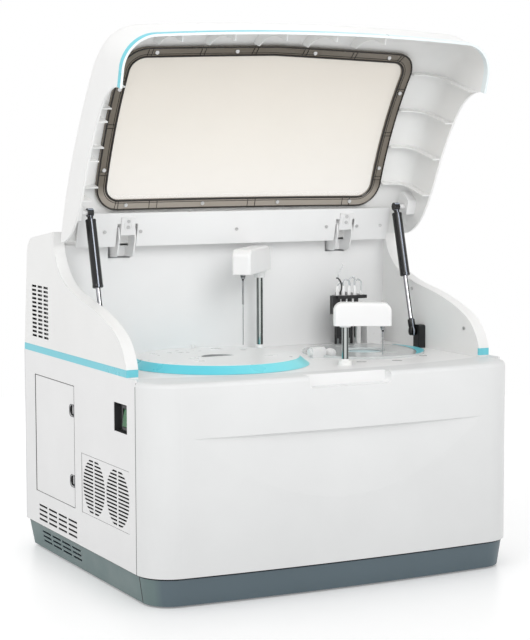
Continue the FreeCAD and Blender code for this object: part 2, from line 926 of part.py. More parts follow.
def make_left_panel():
    """The left panel, with openings for the door, the fans and the switch tray."""
    outside = "-body_width / 2 - cut_overrun"
    through = "shell_wall + 2 * cut_overrun"
    openings = [
        box("door_opening", (outside, "door_y", "door_z"), (through, "door_length", "door_height")),
        box("grille_opening", (outside, "grille_y", "grille_z"), (through, "grille_length", "grille_height")),
        box("switch_opening", (outside, "switch_y", "switch_z"), (through, "switch_length", "switch_height")),
    ]
    for column in range(count("low_vent_columns")):
        for line in range(count("low_vent_rows")):
            corner = (outside, f"low_vent_y + {column} * low_vent_pitch_y",
                      f"low_vent_z + {line} * low_vent_pitch_z")
            openings.append(box("low_vent", corner, (through, "low_vent_length", "low_vent_height")))
    panel = cut("left_panel", panel_box("left_sheet", "-body_width / 2"), openings)
    tray_block = box(
        "switch_tray_block",
        ("shell_wall - body_width / 2", "switch_y - switch_tray_wall", "switch_z - switch_tray_wall"),
        ("switch_depth - shell_wall + switch_tray_wall", "switch_length + 2 * switch_tray_wall",
         "switch_height + 2 * switch_tray_wall"),
    )
    tray_hollow = box(
        "switch_tray_hollow", ("-body_width / 2", "switch_y", "switch_z"),
        ("switch_depth", "switch_length", "switch_height"),
    )
    tray = cut("switch_tray", tray_block, [tray_hollow])
    node("left_side_panel", fuse("left_panel_with_tray", [panel, tray]))


def make_rear_panel():
    body = new_body("rear_panel")
    sheet_sketch = sketch_on(body, "rear_sheet", "XZ_Plane", "-body_depth / 2")
    sketch_rectangle(sheet_sketch, "-body_width / 2", "panel_bottom", "body_width", "panel_top - panel_bottom")
    pad(body, sheet_sketch, "rear_panel_wall")
    holes = sketch_on(body, "rear_openings", "XZ_Plane", "-body_depth / 2")
    sketch_rectangle(holes, "inlet_x - inlet_width / 2", "inlet_z", "inlet_width", "inlet_height")
    sketch_rectangle(holes, "port_x - port_width / 2", "port_z", "port_width", "port_height")
    pocket(body, holes, "4 * rear_panel_wall")
    node("rear_panel", body)


# Wings, stripes and the cover between them

def wing_outline(inset, front, bottom):
    """A wing's outline from the side before its curved edge is cut."""
    rear_top = mm("wing_top") - mm("wing_rear_drop")
    return rounded_wire([
        (front, bottom, 0),
        (rear_y() - inset, bottom, 0),
        (mm("wing_rear_corner_y") + mm("wing_rear_drop") / 2 - inset, rear_top - inset,
         mm("wing_rear_radius") - inset),
        (mm("wing_curve_rear_y"), mm("wing_top") - inset, 0),
        (front, mm("wing_top") - inset, 0),
    ], "yz")


def wing_curve(shift_y, shift_z):
    """The S-shaped edge, moved by the given shift."""
    run = mm("wing_curve_rear_y") - wing_front_y()
    rise = mm("wing_top") - mm("wing_foot")
    spots = [
        point(0, wing_front_y() + run * along + shift_y, mm("wing_foot") + rise * up + shift_z)
        for along, up in WING_CURVE_SHARES
    ]
    curve = Part.BSplineCurve()
    curve.interpolate(Points=spots)
    return curve.toShape(), spots[0], spots[-1]


def wing_curve_cutter(shift_y, shift_z, side):
    """Everything in front of and above the S-shaped edge, or behind and below it."""
    far = mm("body_depth")
    curve, start, end = wing_curve(shift_y, shift_z)
    if side == "above":
        route = [end, point(0, end.y, far + end.z), point(0, -far, far + end.z),
                 point(0, -far, start.z), start]
    else:
        route = [end, point(0, end.y, far + end.z), point(0, far + end.y, far + end.z),
                 point(0, far + end.y, -far), point(0, start.y, -far), start]
    lines = [Part.LineSegment(first, second).toShape() for first, second in zip(route, route[1:])]
    wire = Part.Wire(Part.__sortEdges__([curve] + lines))
    return prism(wire, -half_width() - mm("cut_overrun"), mm("body_width") + 2 * mm("cut_overrun"), RIGHT)


def wing_shape():
    """The right wing: a hollow shell, open under its foot."""
    over = mm("cut_overrun")
    wall = mm("shell_wall")
    inner = inner_half()
    foot = mm("deck_top") - mm("deck_wall")
    outer = prism(wing_outline(0, wing_front_y(), foot), inner, mm("wing_thickness"), RIGHT)
    outer = outer.cut(wing_curve_cutter(0, 0, "above"))
    hollow_front = wing_front_y() + 2 * wall
    hollow_width = mm("wing_thickness") - wall - mm("wing_inner_wall")
    hollow = prism(wing_outline(wall, hollow_front, foot - over), inner + mm("wing_inner_wall"),
                   hollow_width, RIGHT)
    hollow = hollow.cut(wing_curve_cutter(wall, -wall, "above"))
    rebate_top = mm("panel_top") + mm("stripe_height")
    side_rebate = slab((half_width() - wall, half_width() + over),
                       (wing_front_y() - over, rear_y() + over), (foot - over, rebate_top))
    front_rebate = slab((inner - over, half_width() + over),
                        (wing_front_y() - over, wing_front_y() + wall), (mm("panel_top"), rebate_top))
    rear_rebate = slab((inner - over, half_width() + over),
                       (rear_y() - mm("rear_panel_wall"), rear_y() + over), (foot - over, mm("panel_top")))
    return outer.cut(hollow).cut(side_rebate).cut(front_rebate).cut(rear_rebate)


def make_wings():
    right = wing_shape()
    node("right_wing", feature("right_wing_shell", right))
    vents = slot_field(
        (-half_width() - mm("cut_overrun"), -half_width() + mm("shell_wall") + mm("panel_gap")),
        mm("wing_vent_y"), mm("wing_vent_z"),
        (mm("wing_vent_length"), mm("wing_vent_height")),
        (mm("wing_vent_pitch_y"), mm("wing_vent_pitch_z")),
        count("wing_vent_columns"), count("wing_vent_rows"),
    )
    node("left_wing", feature("left_wing_shell", mirrored(right).cut(vents)))


def make_stripes():
    """The coloured band along each wing's foot, round its front end."""
    wall = mm("shell_wall")
    low = mm("panel_top")
    levels = (low, low + mm("stripe_height"))
    side = slab((half_width() - wall, half_width()), (wing_front_y(), rear_y()), levels)
    front = slab((inner_half(), half_width()), (wing_front_y(), wing_front_y() + wall), levels)
    outline = wing_outline(0, wing_front_y(), mm("deck_top") - mm("deck_wall"))
    limits = prism(outline, 0, half_width(), RIGHT)
    stripe = side.fuse(front).common(limits).removeSplitter()
    node("side_stripes", feature("stripes", both_sides(stripe)))


def make_rear_cover():
    """The cover behind the lid, between the wings, down to the rear panel."""
    wall = mm("rear_cover_wall")
    over = mm("cut_overrun")
    lip = mm("rear_cover_lip_y")
    side = inner_half()
    foot = mm("panel_top")

    def behind_lip(inset, start, low, reach):
        block = prism(wing_outline(inset, wing_front_y(), low), -reach, 2 * reach, RIGHT)
        return block.common(slab((-reach, reach), (start, rear_y() + over), (low - over, mm("wing_top") + over)))

    outer = behind_lip(0, lip, foot, side)
    inner = behind_lip(wall, lip + wall, foot - over, side + over)
    below_lip = slab((-half_width(), half_width()), (lip - over, lip + wall + over),
                     (foot - over, mm("back_wall_top")))
    node("top_rear_cover", feature("rear_cover_shell", outer.cut(inner).cut(below_lip)))


def make_deck():
    """The work surface: a plate with a curved front edge and holes for what passes through."""
    plate = prism(deck_front_wire(mm("back_wall_y") + mm("shell_wall")),
                  mm("deck_top") - mm("deck_wall"), mm("deck_wall"), UP)
    below = "deck_top - 2 * deck_wall"
    holes = [
        cylinder("reagent_hole", ("reagent_x", "reagent_y", below), "reagent_bowl_radius", "3 * deck_wall"),
        cylinder("reaction_hole", ("reaction_x", "reaction_y", below), "reaction_bowl_radius", "3 * deck_wall"),
        cylinder("left_neck_hole", ("left_arm_x", "left_arm_y", below), "arm_neck_radius", "3 * deck_wall"),
        cylinder("right_neck_hole", ("right_arm_x", "right_arm_y", below), "arm_neck_radius", "3 * deck_wall"),
    ]
    node("deck_panel", cut("deck", feature("deck_plate", plate), holes))


def make_back_wall():
    body = new_body("back_wall")
    wall_sketch = sketch_on(body, "back_wall_sheet", "XZ_Plane", "-back_wall_y - shell_wall")
    half = "body_width / 2 - wing_thickness"
    sketch_rectangle(wall_sketch, "wing_thickness - body_width / 2", "deck_top",
                     "2 * (" + half + ")", "back_wall_top - deck_top")
    pad(body, wall_sketch, "shell_wall")
    notches = sketch_on(body, "hinge_openings", "XZ_Plane", "-back_wall_y - shell_wall")
    for middle in ("hinge_x", "-hinge_x"):
        sketch_rectangle(notches, middle + " - ear_wall_notch_half", "ear_base_bottom - ear_wall",
                         "2 * ear_wall_notch_half",
                         "back_wall_top - ear_base_bottom + ear_wall + cut_overrun")
    pocket(body, notches, "4 * shell_wall")
    node("back_wall", body)


def make_wing_screws():
    screws = []
    for side in ("", "-"):
        for spot in ("front", "rear"):
            left = "body_width / 2 - wing_thickness"
            if side == "":
                left += " - wing_screw_height"
            else:
                left = "-(" + left + ")"
            screws.append(cylinder("wing_screw", (left, f"wing_screw_{spot}_y", f"wing_screw_{spot}_z"),
                                   "wing_screw_radius", "wing_screw_height", along="x"))
    node("wing_screws", group("screws_of_wings", screws))


# Left side: fans, door, switch

def fan_places():
    first = mm("fan_front_y")
    return [first, first + mm("fan_spacing")]


def make_grille():
    gap = mm("panel_gap")
    outside = -half_width()
    plate = slab(
        (outside, outside + mm("grille_wall")),
        (mm("grille_y") + gap, mm("grille_y") + mm("grille_length") - gap),
        (mm("grille_z") + gap, mm("grille_z") + mm("grille_height") - gap),
    )
    for fan_y in fan_places():
        rows = count("fan_slot_rows")
        first = mm("fan_z") - (rows - 1) / 2 * mm("fan_slot_pitch") - mm("fan_slot_height") / 2
        reach = mm("fan_vent_radius")
        span = reach - mm("fan_slot_rib") / 2
        slots = slot_field(
            (outside - gap, outside + mm("grille_wall") + gap), fan_y - reach, first,
            (span, mm("fan_slot_height")), (reach + mm("fan_slot_rib") / 2, mm("fan_slot_pitch")), 2, rows,
        )
        disc = rod(point(outside - 1.0 * gap, fan_y, mm("fan_z")), RIGHT, reach, mm("grille_wall") + 2 * gap)
        plate = plate.cut(slots.common(disc))
    node("fan_grille_panel", feature("grille", plate))


def fan_back_x():
    return -half_width() + mm("grille_wall") + mm("fan_depth")


def make_fans():
    housings = []
    for number, fan_y in enumerate(fan_places(), start=1):
        front_x = -half_width() + mm("grille_wall")
        half = mm("fan_width") / 2
        centre = mm("fan_z")
        frame = slab((front_x, fan_back_x()), (fan_y - half, fan_y + half), (centre - half, centre + half))
        bore = rod(point(front_x, fan_y, centre), RIGHT, mm("fan_bore"), mm("fan_depth"))
        web_x = fan_back_x() - mm("fan_web")
        hub = rod(point(web_x, fan_y, centre), RIGHT, mm("rotor_hub_radius"), mm("fan_web"))
        spoke = mm("fan_spoke") / 2
        spokes = [
            slab((web_x, fan_back_x()), (fan_y - half, fan_y + half), (centre - spoke, centre + spoke)),
            slab((web_x, fan_back_x()), (fan_y - spoke, fan_y + spoke), (centre - half, centre + half)),
        ]
        pin_length = mm("rotor_gap") + mm("rotor_hub_depth") - 2 * mm("rotor_gap")
        pin = rod(point(web_x - pin_length, fan_y, centre), RIGHT, mm("rotor_pin_radius"), pin_length)
        housings.append(frame.cut(bore).fuse([hub, pin] + spokes).removeSplitter())
        node(f"fan_rotor_{number}", feature(f"rotor_{number}", rotor_shape(fan_y, web_x)))
    node("fan_housings", feature("housings", Part.makeCompound(housings)))


def rotor_shape(fan_y, web_x):
    """A hub with pitched blades that runs on the housing's pin."""
    centre = point(web_x - mm("rotor_gap") - mm("rotor_hub_depth"), fan_y, mm("fan_z"))
    hub = rod(centre, RIGHT, mm("rotor_hub_radius"), mm("rotor_hub_depth"))
    blades = []
    total = count("rotor_blades")
    middle_x = centre.x + mm("rotor_hub_depth") / 2
    root_share = 0.8
    for index in range(total):
        half = mm("rotor_blade_width") / 2
        wall = mm("rotor_blade_wall") / 2
        start = mm("rotor_hub_radius") * root_share
        blade = slab((middle_x - half, middle_x + half), (fan_y - wall, fan_y + wall),
                     (mm("fan_z") + start, mm("fan_z") + mm("rotor_radius")))
        blade.rotate(point(middle_x, fan_y, mm("fan_z")), UP, mm("rotor_pitch_angle"))
        blade.rotate(point(middle_x, fan_y, mm("fan_z")), RIGHT, 360 * index / total)
        blades.append(blade)
    rotor = hub.fuse(blades)
    bore_radius = mm("rotor_pin_radius") + mm("running_clearance")
    bore_start = point(centre.x + mm("rotor_gap"), centre.y, centre.z)
    bore = rod(bore_start, RIGHT, bore_radius, mm("rotor_hub_depth"))
    return rotor.cut(bore).removeSplitter()


def door_pin_place():
    """Where the side door's pins stand, from above."""
    pin_x = -half_width() + mm("shell_wall") + mm("door_pin_inside")
    pin_y = mm("door_y") + mm("door_gap") + mm("door_pin_setback")
    return pin_x, pin_y


def make_side_door():
    wall = mm("shell_wall")
    gap = mm("door_gap")
    side_gap = gap / 2
    outside = -half_width()
    pin_x, pin_y = door_pin_place()
    front = mm("door_y") + gap
    plate = slab(
        (outside, outside + wall),
        (front, mm("door_y") + mm("door_length") - mm("door_finger_gap")),
        (mm("door_z") + side_gap, mm("door_z") + mm("door_height") - side_gap),
    )
    lug_half = 2 * mm("door_pin_inside")
    for hinge_z in (mm("door_lower_hinge_z"), mm("door_upper_hinge_z")):
        half = mm("door_notch_height") / 2
        deep = front + mm("door_notch_depth")
        notch = prism(rounded_wire([
            (front - gap, hinge_z - half, 0),
            (deep, hinge_z - half, mm("door_notch_radius")),
            (deep, hinge_z + half, mm("door_notch_radius")),
            (front - gap, hinge_z + half, 0),
        ], "yz"), outside - wall, 3 * wall, RIGHT)
        plate = plate.cut(notch)
        for low in (hinge_z + half, hinge_z - half - mm("door_lug_height")):
            shift = mm("door_lug_gap") if low > hinge_z else -mm("door_lug_gap")
            lug = slab((outside + wall, pin_x + lug_half), (pin_y - lug_half, pin_y + lug_half),
                       (low + shift, low + shift + mm("door_lug_height")))
            plate = plate.fuse(lug)
        bore = rod(point(pin_x, pin_y, hinge_z - half - 2 * mm("door_lug_height")), UP,
                   mm("door_pin_radius") + mm("running_clearance"),
                   mm("door_notch_height") + 4 * mm("door_lug_height"))
        plate = plate.cut(bore)
    node("side_door", feature("door", plate.removeSplitter()))


def make_door_hinges():
    """An arm from behind the panel to the pin, seen through each D-shaped notch."""
    inside = -half_width() + mm("shell_wall")
    pin_x, pin_y = door_pin_place()
    hinges = []
    for hinge_z in (mm("door_lower_hinge_z"), mm("door_upper_hinge_z")):
        half = mm("door_arm_height") / 2
        arm = slab((inside, inside + mm("door_arm_depth")),
                   (mm("door_y") - mm("door_arm_reach"), pin_y + 2 * mm("door_pin_radius")),
                   (hinge_z - half, hinge_z + half))
        pin_half = mm("door_notch_height") / 2 + mm("door_lug_height")
        pin = rod(point(pin_x, pin_y, hinge_z - pin_half), UP, mm("door_pin_radius"), 2 * pin_half)
        hinges.append(arm.fuse(pin).removeSplitter())
    node("door_hinges", feature("hinges_of_door", Part.makeCompound(hinges)))


def rocker_place():
    """The middle of the rocker: x, y and z."""
    floor_x = -half_width() + mm("switch_depth")
    centre_y = mm("switch_y") + mm("bezel_front_margin") + mm("bezel_length") / 2
    return floor_x - mm("rocker_lift"), centre_y, mm("switch_z") + mm("switch_height") / 2


def make_switch():
    floor_x = -half_width() + mm("switch_depth")
    centre_x, centre_y, centre_z = rocker_place()
    bezel = slab(
        (floor_x - mm("bezel_depth"), floor_x),
        (centre_y - mm("bezel_length") / 2, centre_y + mm("bezel_length") / 2),
        (centre_z - mm("bezel_height") / 2, centre_z + mm("bezel_height") / 2),
    )
    gap = mm("rocker_gap")
    well = slab(
        (floor_x - 2 * mm("bezel_depth"), floor_x + gap),
        (centre_y - mm("rocker_length") / 2 - gap / 2, centre_y + mm("rocker_length") / 2 + gap / 2),
        (centre_z - mm("rocker_height") / 2 - gap, centre_z + mm("rocker_height") / 2 + gap),
    )
    pin_reach = mm("rocker_length") / 2 + 2 * gap
    pin_start = point(centre_x, centre_y - pin_reach, centre_z)
    hole = rod(pin_start, BACK, mm("rocker_pin_radius") + mm("running_clearance"), 2 * pin_reach)
    node("switch_bezel", feature("bezel", bezel.cut(well).cut(hole)))
    half = mm("rocker_thickness") / 2
    rocker = slab(
        (centre_x - half, centre_x + half),
        (centre_y - mm("rocker_length") / 2, centre_y + mm("rocker_length") / 2),
        (centre_z - mm("rocker_height") / 2, centre_z + mm("rocker_height") / 2),
    )
    rocker.rotate(point(centre_x, centre_y, centre_z), BACK, mm("rocker_tilt"))
    pin = rod(pin_start, BACK, mm("rocker_pin_radius"), 2 * pin_reach)
    node("power_rocker", feature("rocker", rocker.fuse(pin).removeSplitter()))


# Lid, modelled closed and then turned to its open place

def lid_placement():
    """Turns a piece of the closed lid about the hinge to the open pose."""
    turn = FreeCAD.Rotation(RIGHT, -mm("lid_angle"))
    return FreeCAD.Placement(ZERO, turn, point(0, mm("hinge_y"), mm("hinge_z")))


def lid_node(name, shape):
    item = feature(name + "_shape", shape)
    item.Placement = lid_placement()
    node(name, item)


def lid_profile(inset):
    """The middle section of the lid: a flat arc over the top and a tighter one at the nose."""
    shift = mm("lid_crown") / math.sqrt(2)
    blend = math.radians(mm("lid_blend_angle"))
    top_radius = mm("lid_top_radius")
    nose_radius = mm("lid_nose_radius")
    rear = mm("lid_rear_y") + mm("cut_overrun")
    low = mm("lid_bottom") - 4 * mm("cut_overrun")
    top_centre = point(0, mm("lid_top_centre_y") - shift, mm("lid_side_top") - top_radius + shift)
    nose_centre = top_centre + point(0, -math.sin(blend), math.cos(blend)) * (top_radius - nose_radius)

    def spot(centre, radius, angle):
        return centre + point(0, -math.sin(angle), math.cos(angle)) * (radius - inset)

    rear_angle = -math.asin((rear - top_centre.y) / (top_radius - inset))
    end_angle = math.radians(mm("lid_nose_end_angle"))
    rear_top = spot(top_centre, top_radius, rear_angle)
    joint = spot(top_centre, top_radius, blend)
    nose_end = spot(nose_centre, nose_radius, end_angle)
    edges = [
        Part.Arc(rear_top, spot(top_centre, top_radius, (rear_angle + blend) / 2), joint),
        Part.Arc(joint, spot(nose_centre, nose_radius, (blend + end_angle) / 2), nose_end),
        Part.LineSegment(nose_end, point(0, nose_end.y, low)),
        Part.LineSegment(point(0, nose_end.y, low), point(0, rear, low)),
        Part.LineSegment(point(0, rear, low), rear_top),
    ]
    return Part.Face(Part.Wire([edge.toShape() for edge in edges]))


def lid_block(inset, rounded=False):
    """The lid as a full block, crowned and bowed by turning its profile about a far axis."""
    axis_distance = half_width() ** 2 / (2 * mm("lid_crown"))
    inward = point(0, 1, -1).normalize()
    origin = point(0, mm("lid_bow_axis_y"), mm("lid_bow_axis_z")) + inward * axis_distance
    axis = point(0, 1, 1).normalize()
    spread = math.degrees(half_width() / axis_distance) * 1.25
    profile = lid_profile(inset)
    profile.rotate(origin, axis, -spread)
    block = profile.revolve(origin, axis, 2 * spread)
    limits = prism(plan_wire(inset, rear_y()), mm("lid_bottom") - mm("body_depth") / 2,
                   mm("body_depth"), UP)
    block = block.common(limits).Solids[0]
    if not rounded:
        return block
    far = mm("body_depth")
    right_half = block.common(slab((0, far), (-far, far), (0, 2 * far))).Solids[0]
    right_half = soften_side(right_half, inset)
    return right_half.fuse(mirrored(right_half)).removeSplitter().Solids[0]


def side_edges(block, side_x):
    """The long upper edge of the lid that lies in its right side's plane."""
    edges = []
    for edge in block.Edges:
        middle = edge.valueAt((edge.FirstParameter + edge.LastParameter) / 2)
        on_side = abs(middle.x - side_x) < mm("running_clearance")
        long_enough = edge.BoundBox.ZLength > mm("shell_wall") and edge.BoundBox.YLength > half_width() / 2
        if on_side and long_enough and middle.z > mm("lid_bottom") + mm("lid_trim_height"):
            edges.append(edge)
    return edges


def soften_side(right_half, inset):
    """Rounds the right upper edge, tightly at the rear and wide at the nose.

    The order of the two radii is turned round when the rear corner comes out too wide.
    """
    rear_radius = mm("lid_rear_edge_radius") - inset
    nose_radius = mm("lid_nose_edge_radius") - inset
    edges = side_edges(right_half, half_width() - inset)
    corner = max((vertex.Point for edge in edges for vertex in edge.Vertexes), key=lambda spot: spot.y)
    depth = (rear_radius + nose_radius) / 2 * (1 - math.sqrt(0.5))
    rounded = right_half.makeFillet(rear_radius, nose_radius, edges)
    if not rounded.isInside(corner - point(depth, depth, depth), mm("running_clearance"), True):
        rounded = right_half.makeFillet(nose_radius, rear_radius, edges)
    return rounded.Solids[0]


def lid_limits():
    """What lies in front of the wings' S-shaped edges and ahead of the lid's rear end."""
    gap = mm("lid_gap")
    far = mm("body_depth")
    ahead = slab((-far, far), (-far, mm("lid_rear_y")), (mm("lid_bottom"), 2 * far))
    return ahead.cut(wing_curve_cutter(-gap, gap, "below"))


def window_half():
    return half_width() - mm("window_side_margin")


def window_wire(inset):
    """The window's outline from above, with a bowed front side and round corners."""
    half = window_half() - inset
    radius = mm("window_radius") - inset
    return rounded_wire([
        (-half, mm("window_rear_y") - inset, radius),
        (-half, mm("window_front_y") + mm("window_bow") + inset, radius),
        (0, mm("window_front_y") + inset, 0),
        (half, mm("window_front_y") + mm("window_bow") + inset, radius),
        (half, mm("window_rear_y") - inset, radius),
    ], "xy")


def window_prism(inset):
    return prism(window_wire(inset), mm("lid_bottom"), mm("body_depth"), UP)


def lid_ribs():
    """Ribs under the skin: across the side walls, behind the nose, and over the bar."""
    skin = lid_block(mm("shell_wall") / 2, rounded=True)
    wall = mm("lid_rib_wall")
    far = mm("body_depth")
    height = mm("lid_rib_height")
    inside = skin.cut(lid_block(mm("shell_wall") + height, rounded=True))
    ribs = []
    for index in range(count("lid_side_ribs")):
        rib_y = mm("window_rear_y") - mm("lid_side_rib_setback") - index * mm("lid_side_rib_pitch")
        ribs.append(slab((window_half(), half_width()), (rib_y, rib_y + wall), (mm("lid_bottom"), far + far)))
    side_ribs = [rib.common(inside) for rib in ribs]
    side_ribs += [mirrored(rib) for rib in side_ribs]
    nose_ribs = []
    for index in (-2.5, -1.5, -0.5, 0.5, 1.5):
        rib_x = index * mm("lid_front_rib_pitch")
        nose = slab((rib_x - wall / 2, rib_x + wall / 2), (-far, mm("window_front_y") - wall),
                    (mm("lid_bottom") + 2 * mm("lid_trim_height"), 2 * far))
        nose_ribs.append(nose.common(inside))
    bar_ribs = []
    for index in (-1.5, -0.5, 0.5, 1.5):
        rib_x = index * 2 * mm("lid_front_rib_pitch")
        block = slab((rib_x - wall, rib_x + wall), (mm("bar_front_y") + wall, mm("hinge_notch_y")),
                     (mm("bar_bottom") + mm("bar_wall"), far + far))
        bar_ribs.append(block.common(skin))
    return side_ribs + nose_ribs + bar_ribs


def make_lid():
    wall = mm("shell_wall")
    outer = lid_block(0, rounded=True)
    inner = lid_block(wall, rounded=True)
    limits = lid_limits()
    whole_shell = outer.cut(inner).common(limits)
    trim_top = mm("lid_bottom") + mm("lid_trim_height")
    far = mm("body_depth")
    trim_slab = slab((-far, far), (-far, far), (mm("lid_bottom") - wall, trim_top))
    lid_node("lid_trim_stripe", whole_shell.common(trim_slab))
    shell = whole_shell.cut(trim_slab).cut(window_prism(mm("gasket_width") - mm("pane_seat")))
    ribs = [rib.common(limits) for rib in lid_ribs()]
    plates = strut_plate_shape().common(inner)
    shell = shell.fuse(ribs).cut(both_sides(plates)).cut(both_sides(hinge_notch_shape()))
    lid_node("lid_shell", shell.removeSplitter())
    seat = lid_block(wall)
    pane_floor = lid_block(wall + mm("pane_wall"))
    pane = seat.cut(pane_floor).common(window_prism(mm("pane_seat")))
    lid_node("window_pane", pane)
    gasket_floor = lid_block(wall + mm("gasket_depth"))
    ring = window_prism(0).cut(window_prism(mm("gasket_width")))
    gasket = seat.cut(gasket_floor).common(ring).cut(pane)
    lid_node("window_gasket", gasket)
    make_window_screws(gasket_floor)
    make_bar()


def hinge_notch_shape():
    """What the lid's skin leaves free round the right hinge."""
    half = mm("ear_wall_notch_half")
    centre = mm("hinge_x")
    return slab((centre - half, centre + half), (mm("hinge_notch_y"), 2 * mm("lid_rear_y")),
                (mm("lid_bottom"), 2 * mm("body_depth")))


def strut_plate_shape():
    """The closed lid's right plate for the upper end of a gas strut, before it meets the skin."""
    plate_x = half_width() - mm("shell_wall") - mm("top_bracket_depth")
    top_y = mm("strut_top_y")
    top_z = mm("strut_top_z")
    reach = mm("top_bracket_length") / 2
    height = mm("top_bracket_height") / 2
    wire = rounded_wire([
        (top_y - reach, top_z + height, 2 * mm("stud_radius")),
        (top_y + reach / 2, top_z + height, mm("stud_radius")),
        (top_y + reach / 2, top_z - height / 2, mm("stud_radius")),
        (top_y - reach / 2, top_z - height / 2, mm("stud_radius")),
    ], "yz")
    return prism(wire, plate_x, mm("top_bracket_depth"), RIGHT)


def gasket_height(floor_block, x, y):
    """Height of the gasket's lower face at one place of the closed lid."""
    line = Part.LineSegment(point(x, y, mm("lid_bottom")), point(x, y, 2 * mm("body_depth"))).toShape()
    return floor_block.common(line).BoundBox.ZMax


def make_window_screws(floor_block):
    screws = []
    middle = mm("gasket_width") / 2
    places = []
    for share in WINDOW_SCREW_SHARES:
        x = share * window_half()
        bow = mm("window_bow") * abs(share)
        places.append((x, mm("window_rear_y") - middle))
        places.append((x, mm("window_front_y") + bow + middle))
    for share in WINDOW_SIDE_SCREW_SHARES:
        y = mm("window_rear_y") + share * (mm("window_front_y") - mm("window_rear_y"))
        side = window_half() - middle
        places += [(side, y), (-side, y)]
    for x, y in places:
        top = gasket_height(floor_block, x, y)
        screw = rod(point(x, y, top - mm("window_screw_height")), UP,
                    mm("window_screw_radius"), 2 * mm("window_screw_height"))
        screws.append(screw.cut(lid_block_above(floor_block)))
    make_bar_screws(screws)


def lid_block_above(floor_block):
    """Everything above a block's skin near the window."""
    far = mm("body_depth")
    return slab((-far, far), (-far, far), (mm("lid_bottom"), 2 * far)).cut(floor_block)


def make_bar_screws(screws):
    radius = mm("bar_screw_radius")
    for share in BAR_SCREW_SHARES:
        place = point(share * mm("bar_half_width"), mm("bar_screw_y"),
                      mm("bar_bottom") - mm("bar_screw_height"))
        screws.append(rod(place, UP, radius, mm("bar_screw_height")))
    plate_bottom = mm("bar_bottom") - mm("hinge_plate_wall") - mm("bar_screw_height")
    span = mm("hinge_y") - mm("knuckle_radius") - mm("hinge_plate_front_y")
    for side in (-1, 1):
        for share in HINGE_SCREW_SHARES:
            place = point(side * mm("hinge_x"), mm("hinge_plate_front_y") + share * span, plate_bottom)
            screws.append(rod(place, UP, radius, mm("bar_screw_height")))
    lid_node("lid_screws", Part.makeCompound(screws))


def make_bar():
    """The flat inner panel of the lid, notched for the hinges."""
    body = new_body("lid_inner_bar")
    plate = sketch_on(body, "bar_plate", "XY_Plane", "bar_bottom")
    sketch_rectangle(plate, "-bar_half_width", "bar_front_y", "2 * bar_half_width", "bar_rear_y - bar_front_y")
    pad(body, plate, "bar_wall")
    notches = sketch_on(body, "bar_notches", "XY_Plane", "bar_bottom")
    for middle in ("hinge_x", "-hinge_x"):
        sketch_rectangle(notches, middle + " - hinge_notch_half", "hinge_notch_y", "2 * hinge_notch_half",
                         "bar_rear_y - hinge_notch_y + cut_overrun")
    pocket(body, notches, "4 * bar_wall")
    body.Placement = lid_placement()
    node("lid_inner_bar", body)


def make_lid_hinges():
    """On each side a fixed bracket with two ears, its pin, and the lid's plate with its knuckle."""
    hinge_y = mm("hinge_y")
    hinge_z = mm("hinge_z")
    gap = mm("ear_half_gap")
    wall = mm("ear_wall")
    beam_y = mm("beam_y")
    base_low = mm("ear_base_bottom")
    base_high = mm("back_wall_top") - wall
    radius = mm("ear_radius")
    ear_wire = rounded_wire([
        (beam_y, base_low, 0),
        (mm("ear_front_y") + radius, base_low, radius),
        (mm("ear_front_y"), hinge_z - radius, radius),
        (mm("ear_front_y") + wall, hinge_z + radius, radius),
        (hinge_y + radius, hinge_z + radius, radius),
        (hinge_y + radius, base_high, wall),
        (beam_y, base_high, 0),
    ], "yz")
    centre = mm("hinge_x")
    bracket = slab((centre - gap - wall, centre + gap + wall), (beam_y - wall, beam_y), (base_low, base_high))
    for left in (centre - gap - wall, centre + gap):
        bracket = bracket.fuse(prism(ear_wire, left, wall, RIGHT))
    pin_start = point(centre - gap - 2 * wall, hinge_y, hinge_z)
    pin_length = 2 * gap + 4 * wall
    pin = rod(pin_start, RIGHT, mm("hinge_pin_radius"), pin_length)
    bracket = bracket.cut(pin).removeSplitter()
    node("hinge_brackets", feature("fixed_brackets", both_sides(bracket)))
    node("hinge_pins", feature("pins_of_hinges", both_sides(pin)))
    knuckle_gap = mm("knuckle_gap")
    left = centre - gap + knuckle_gap
    width = 2 * (gap - knuckle_gap)
    knuckle = mm("knuckle_radius")
    plate_wall = mm("hinge_plate_wall")
    plate_low = mm("bar_bottom") - plate_wall
    plate = slab((left, left + width), (mm("hinge_plate_front_y"), hinge_y - knuckle),
                 (plate_low, mm("bar_bottom")))
    leg = slab((left, left + width), (mm("hinge_notch_y") + knuckle_gap, hinge_y), (plate_low, hinge_z))
    barrel = rod(point(left, hinge_y, hinge_z), RIGHT, knuckle, width)
    bore = rod(point(left, hinge_y, hinge_z), RIGHT, mm("hinge_pin_radius") + mm("running_clearance"), width)
    hinge_plate = plate.fuse([leg, barrel]).cut(bore).removeSplitter()
    lid_node("lid_hinge_plates", both_sides(hinge_plate))


# Gas struts

def strut_ends():
    """The lower pivot, and the unit direction to the upper pivot of the open lid."""
    strut_x = half_width() - mm("strut_setback")
    low = point(strut_x, mm("strut_low_y"), mm("strut_low_z"))
    top = lid_placement().multVec(point(strut_x, mm("strut_top_y"), mm("strut_top_z")))
    return low, (top - low).normalize(), (top - low).Length


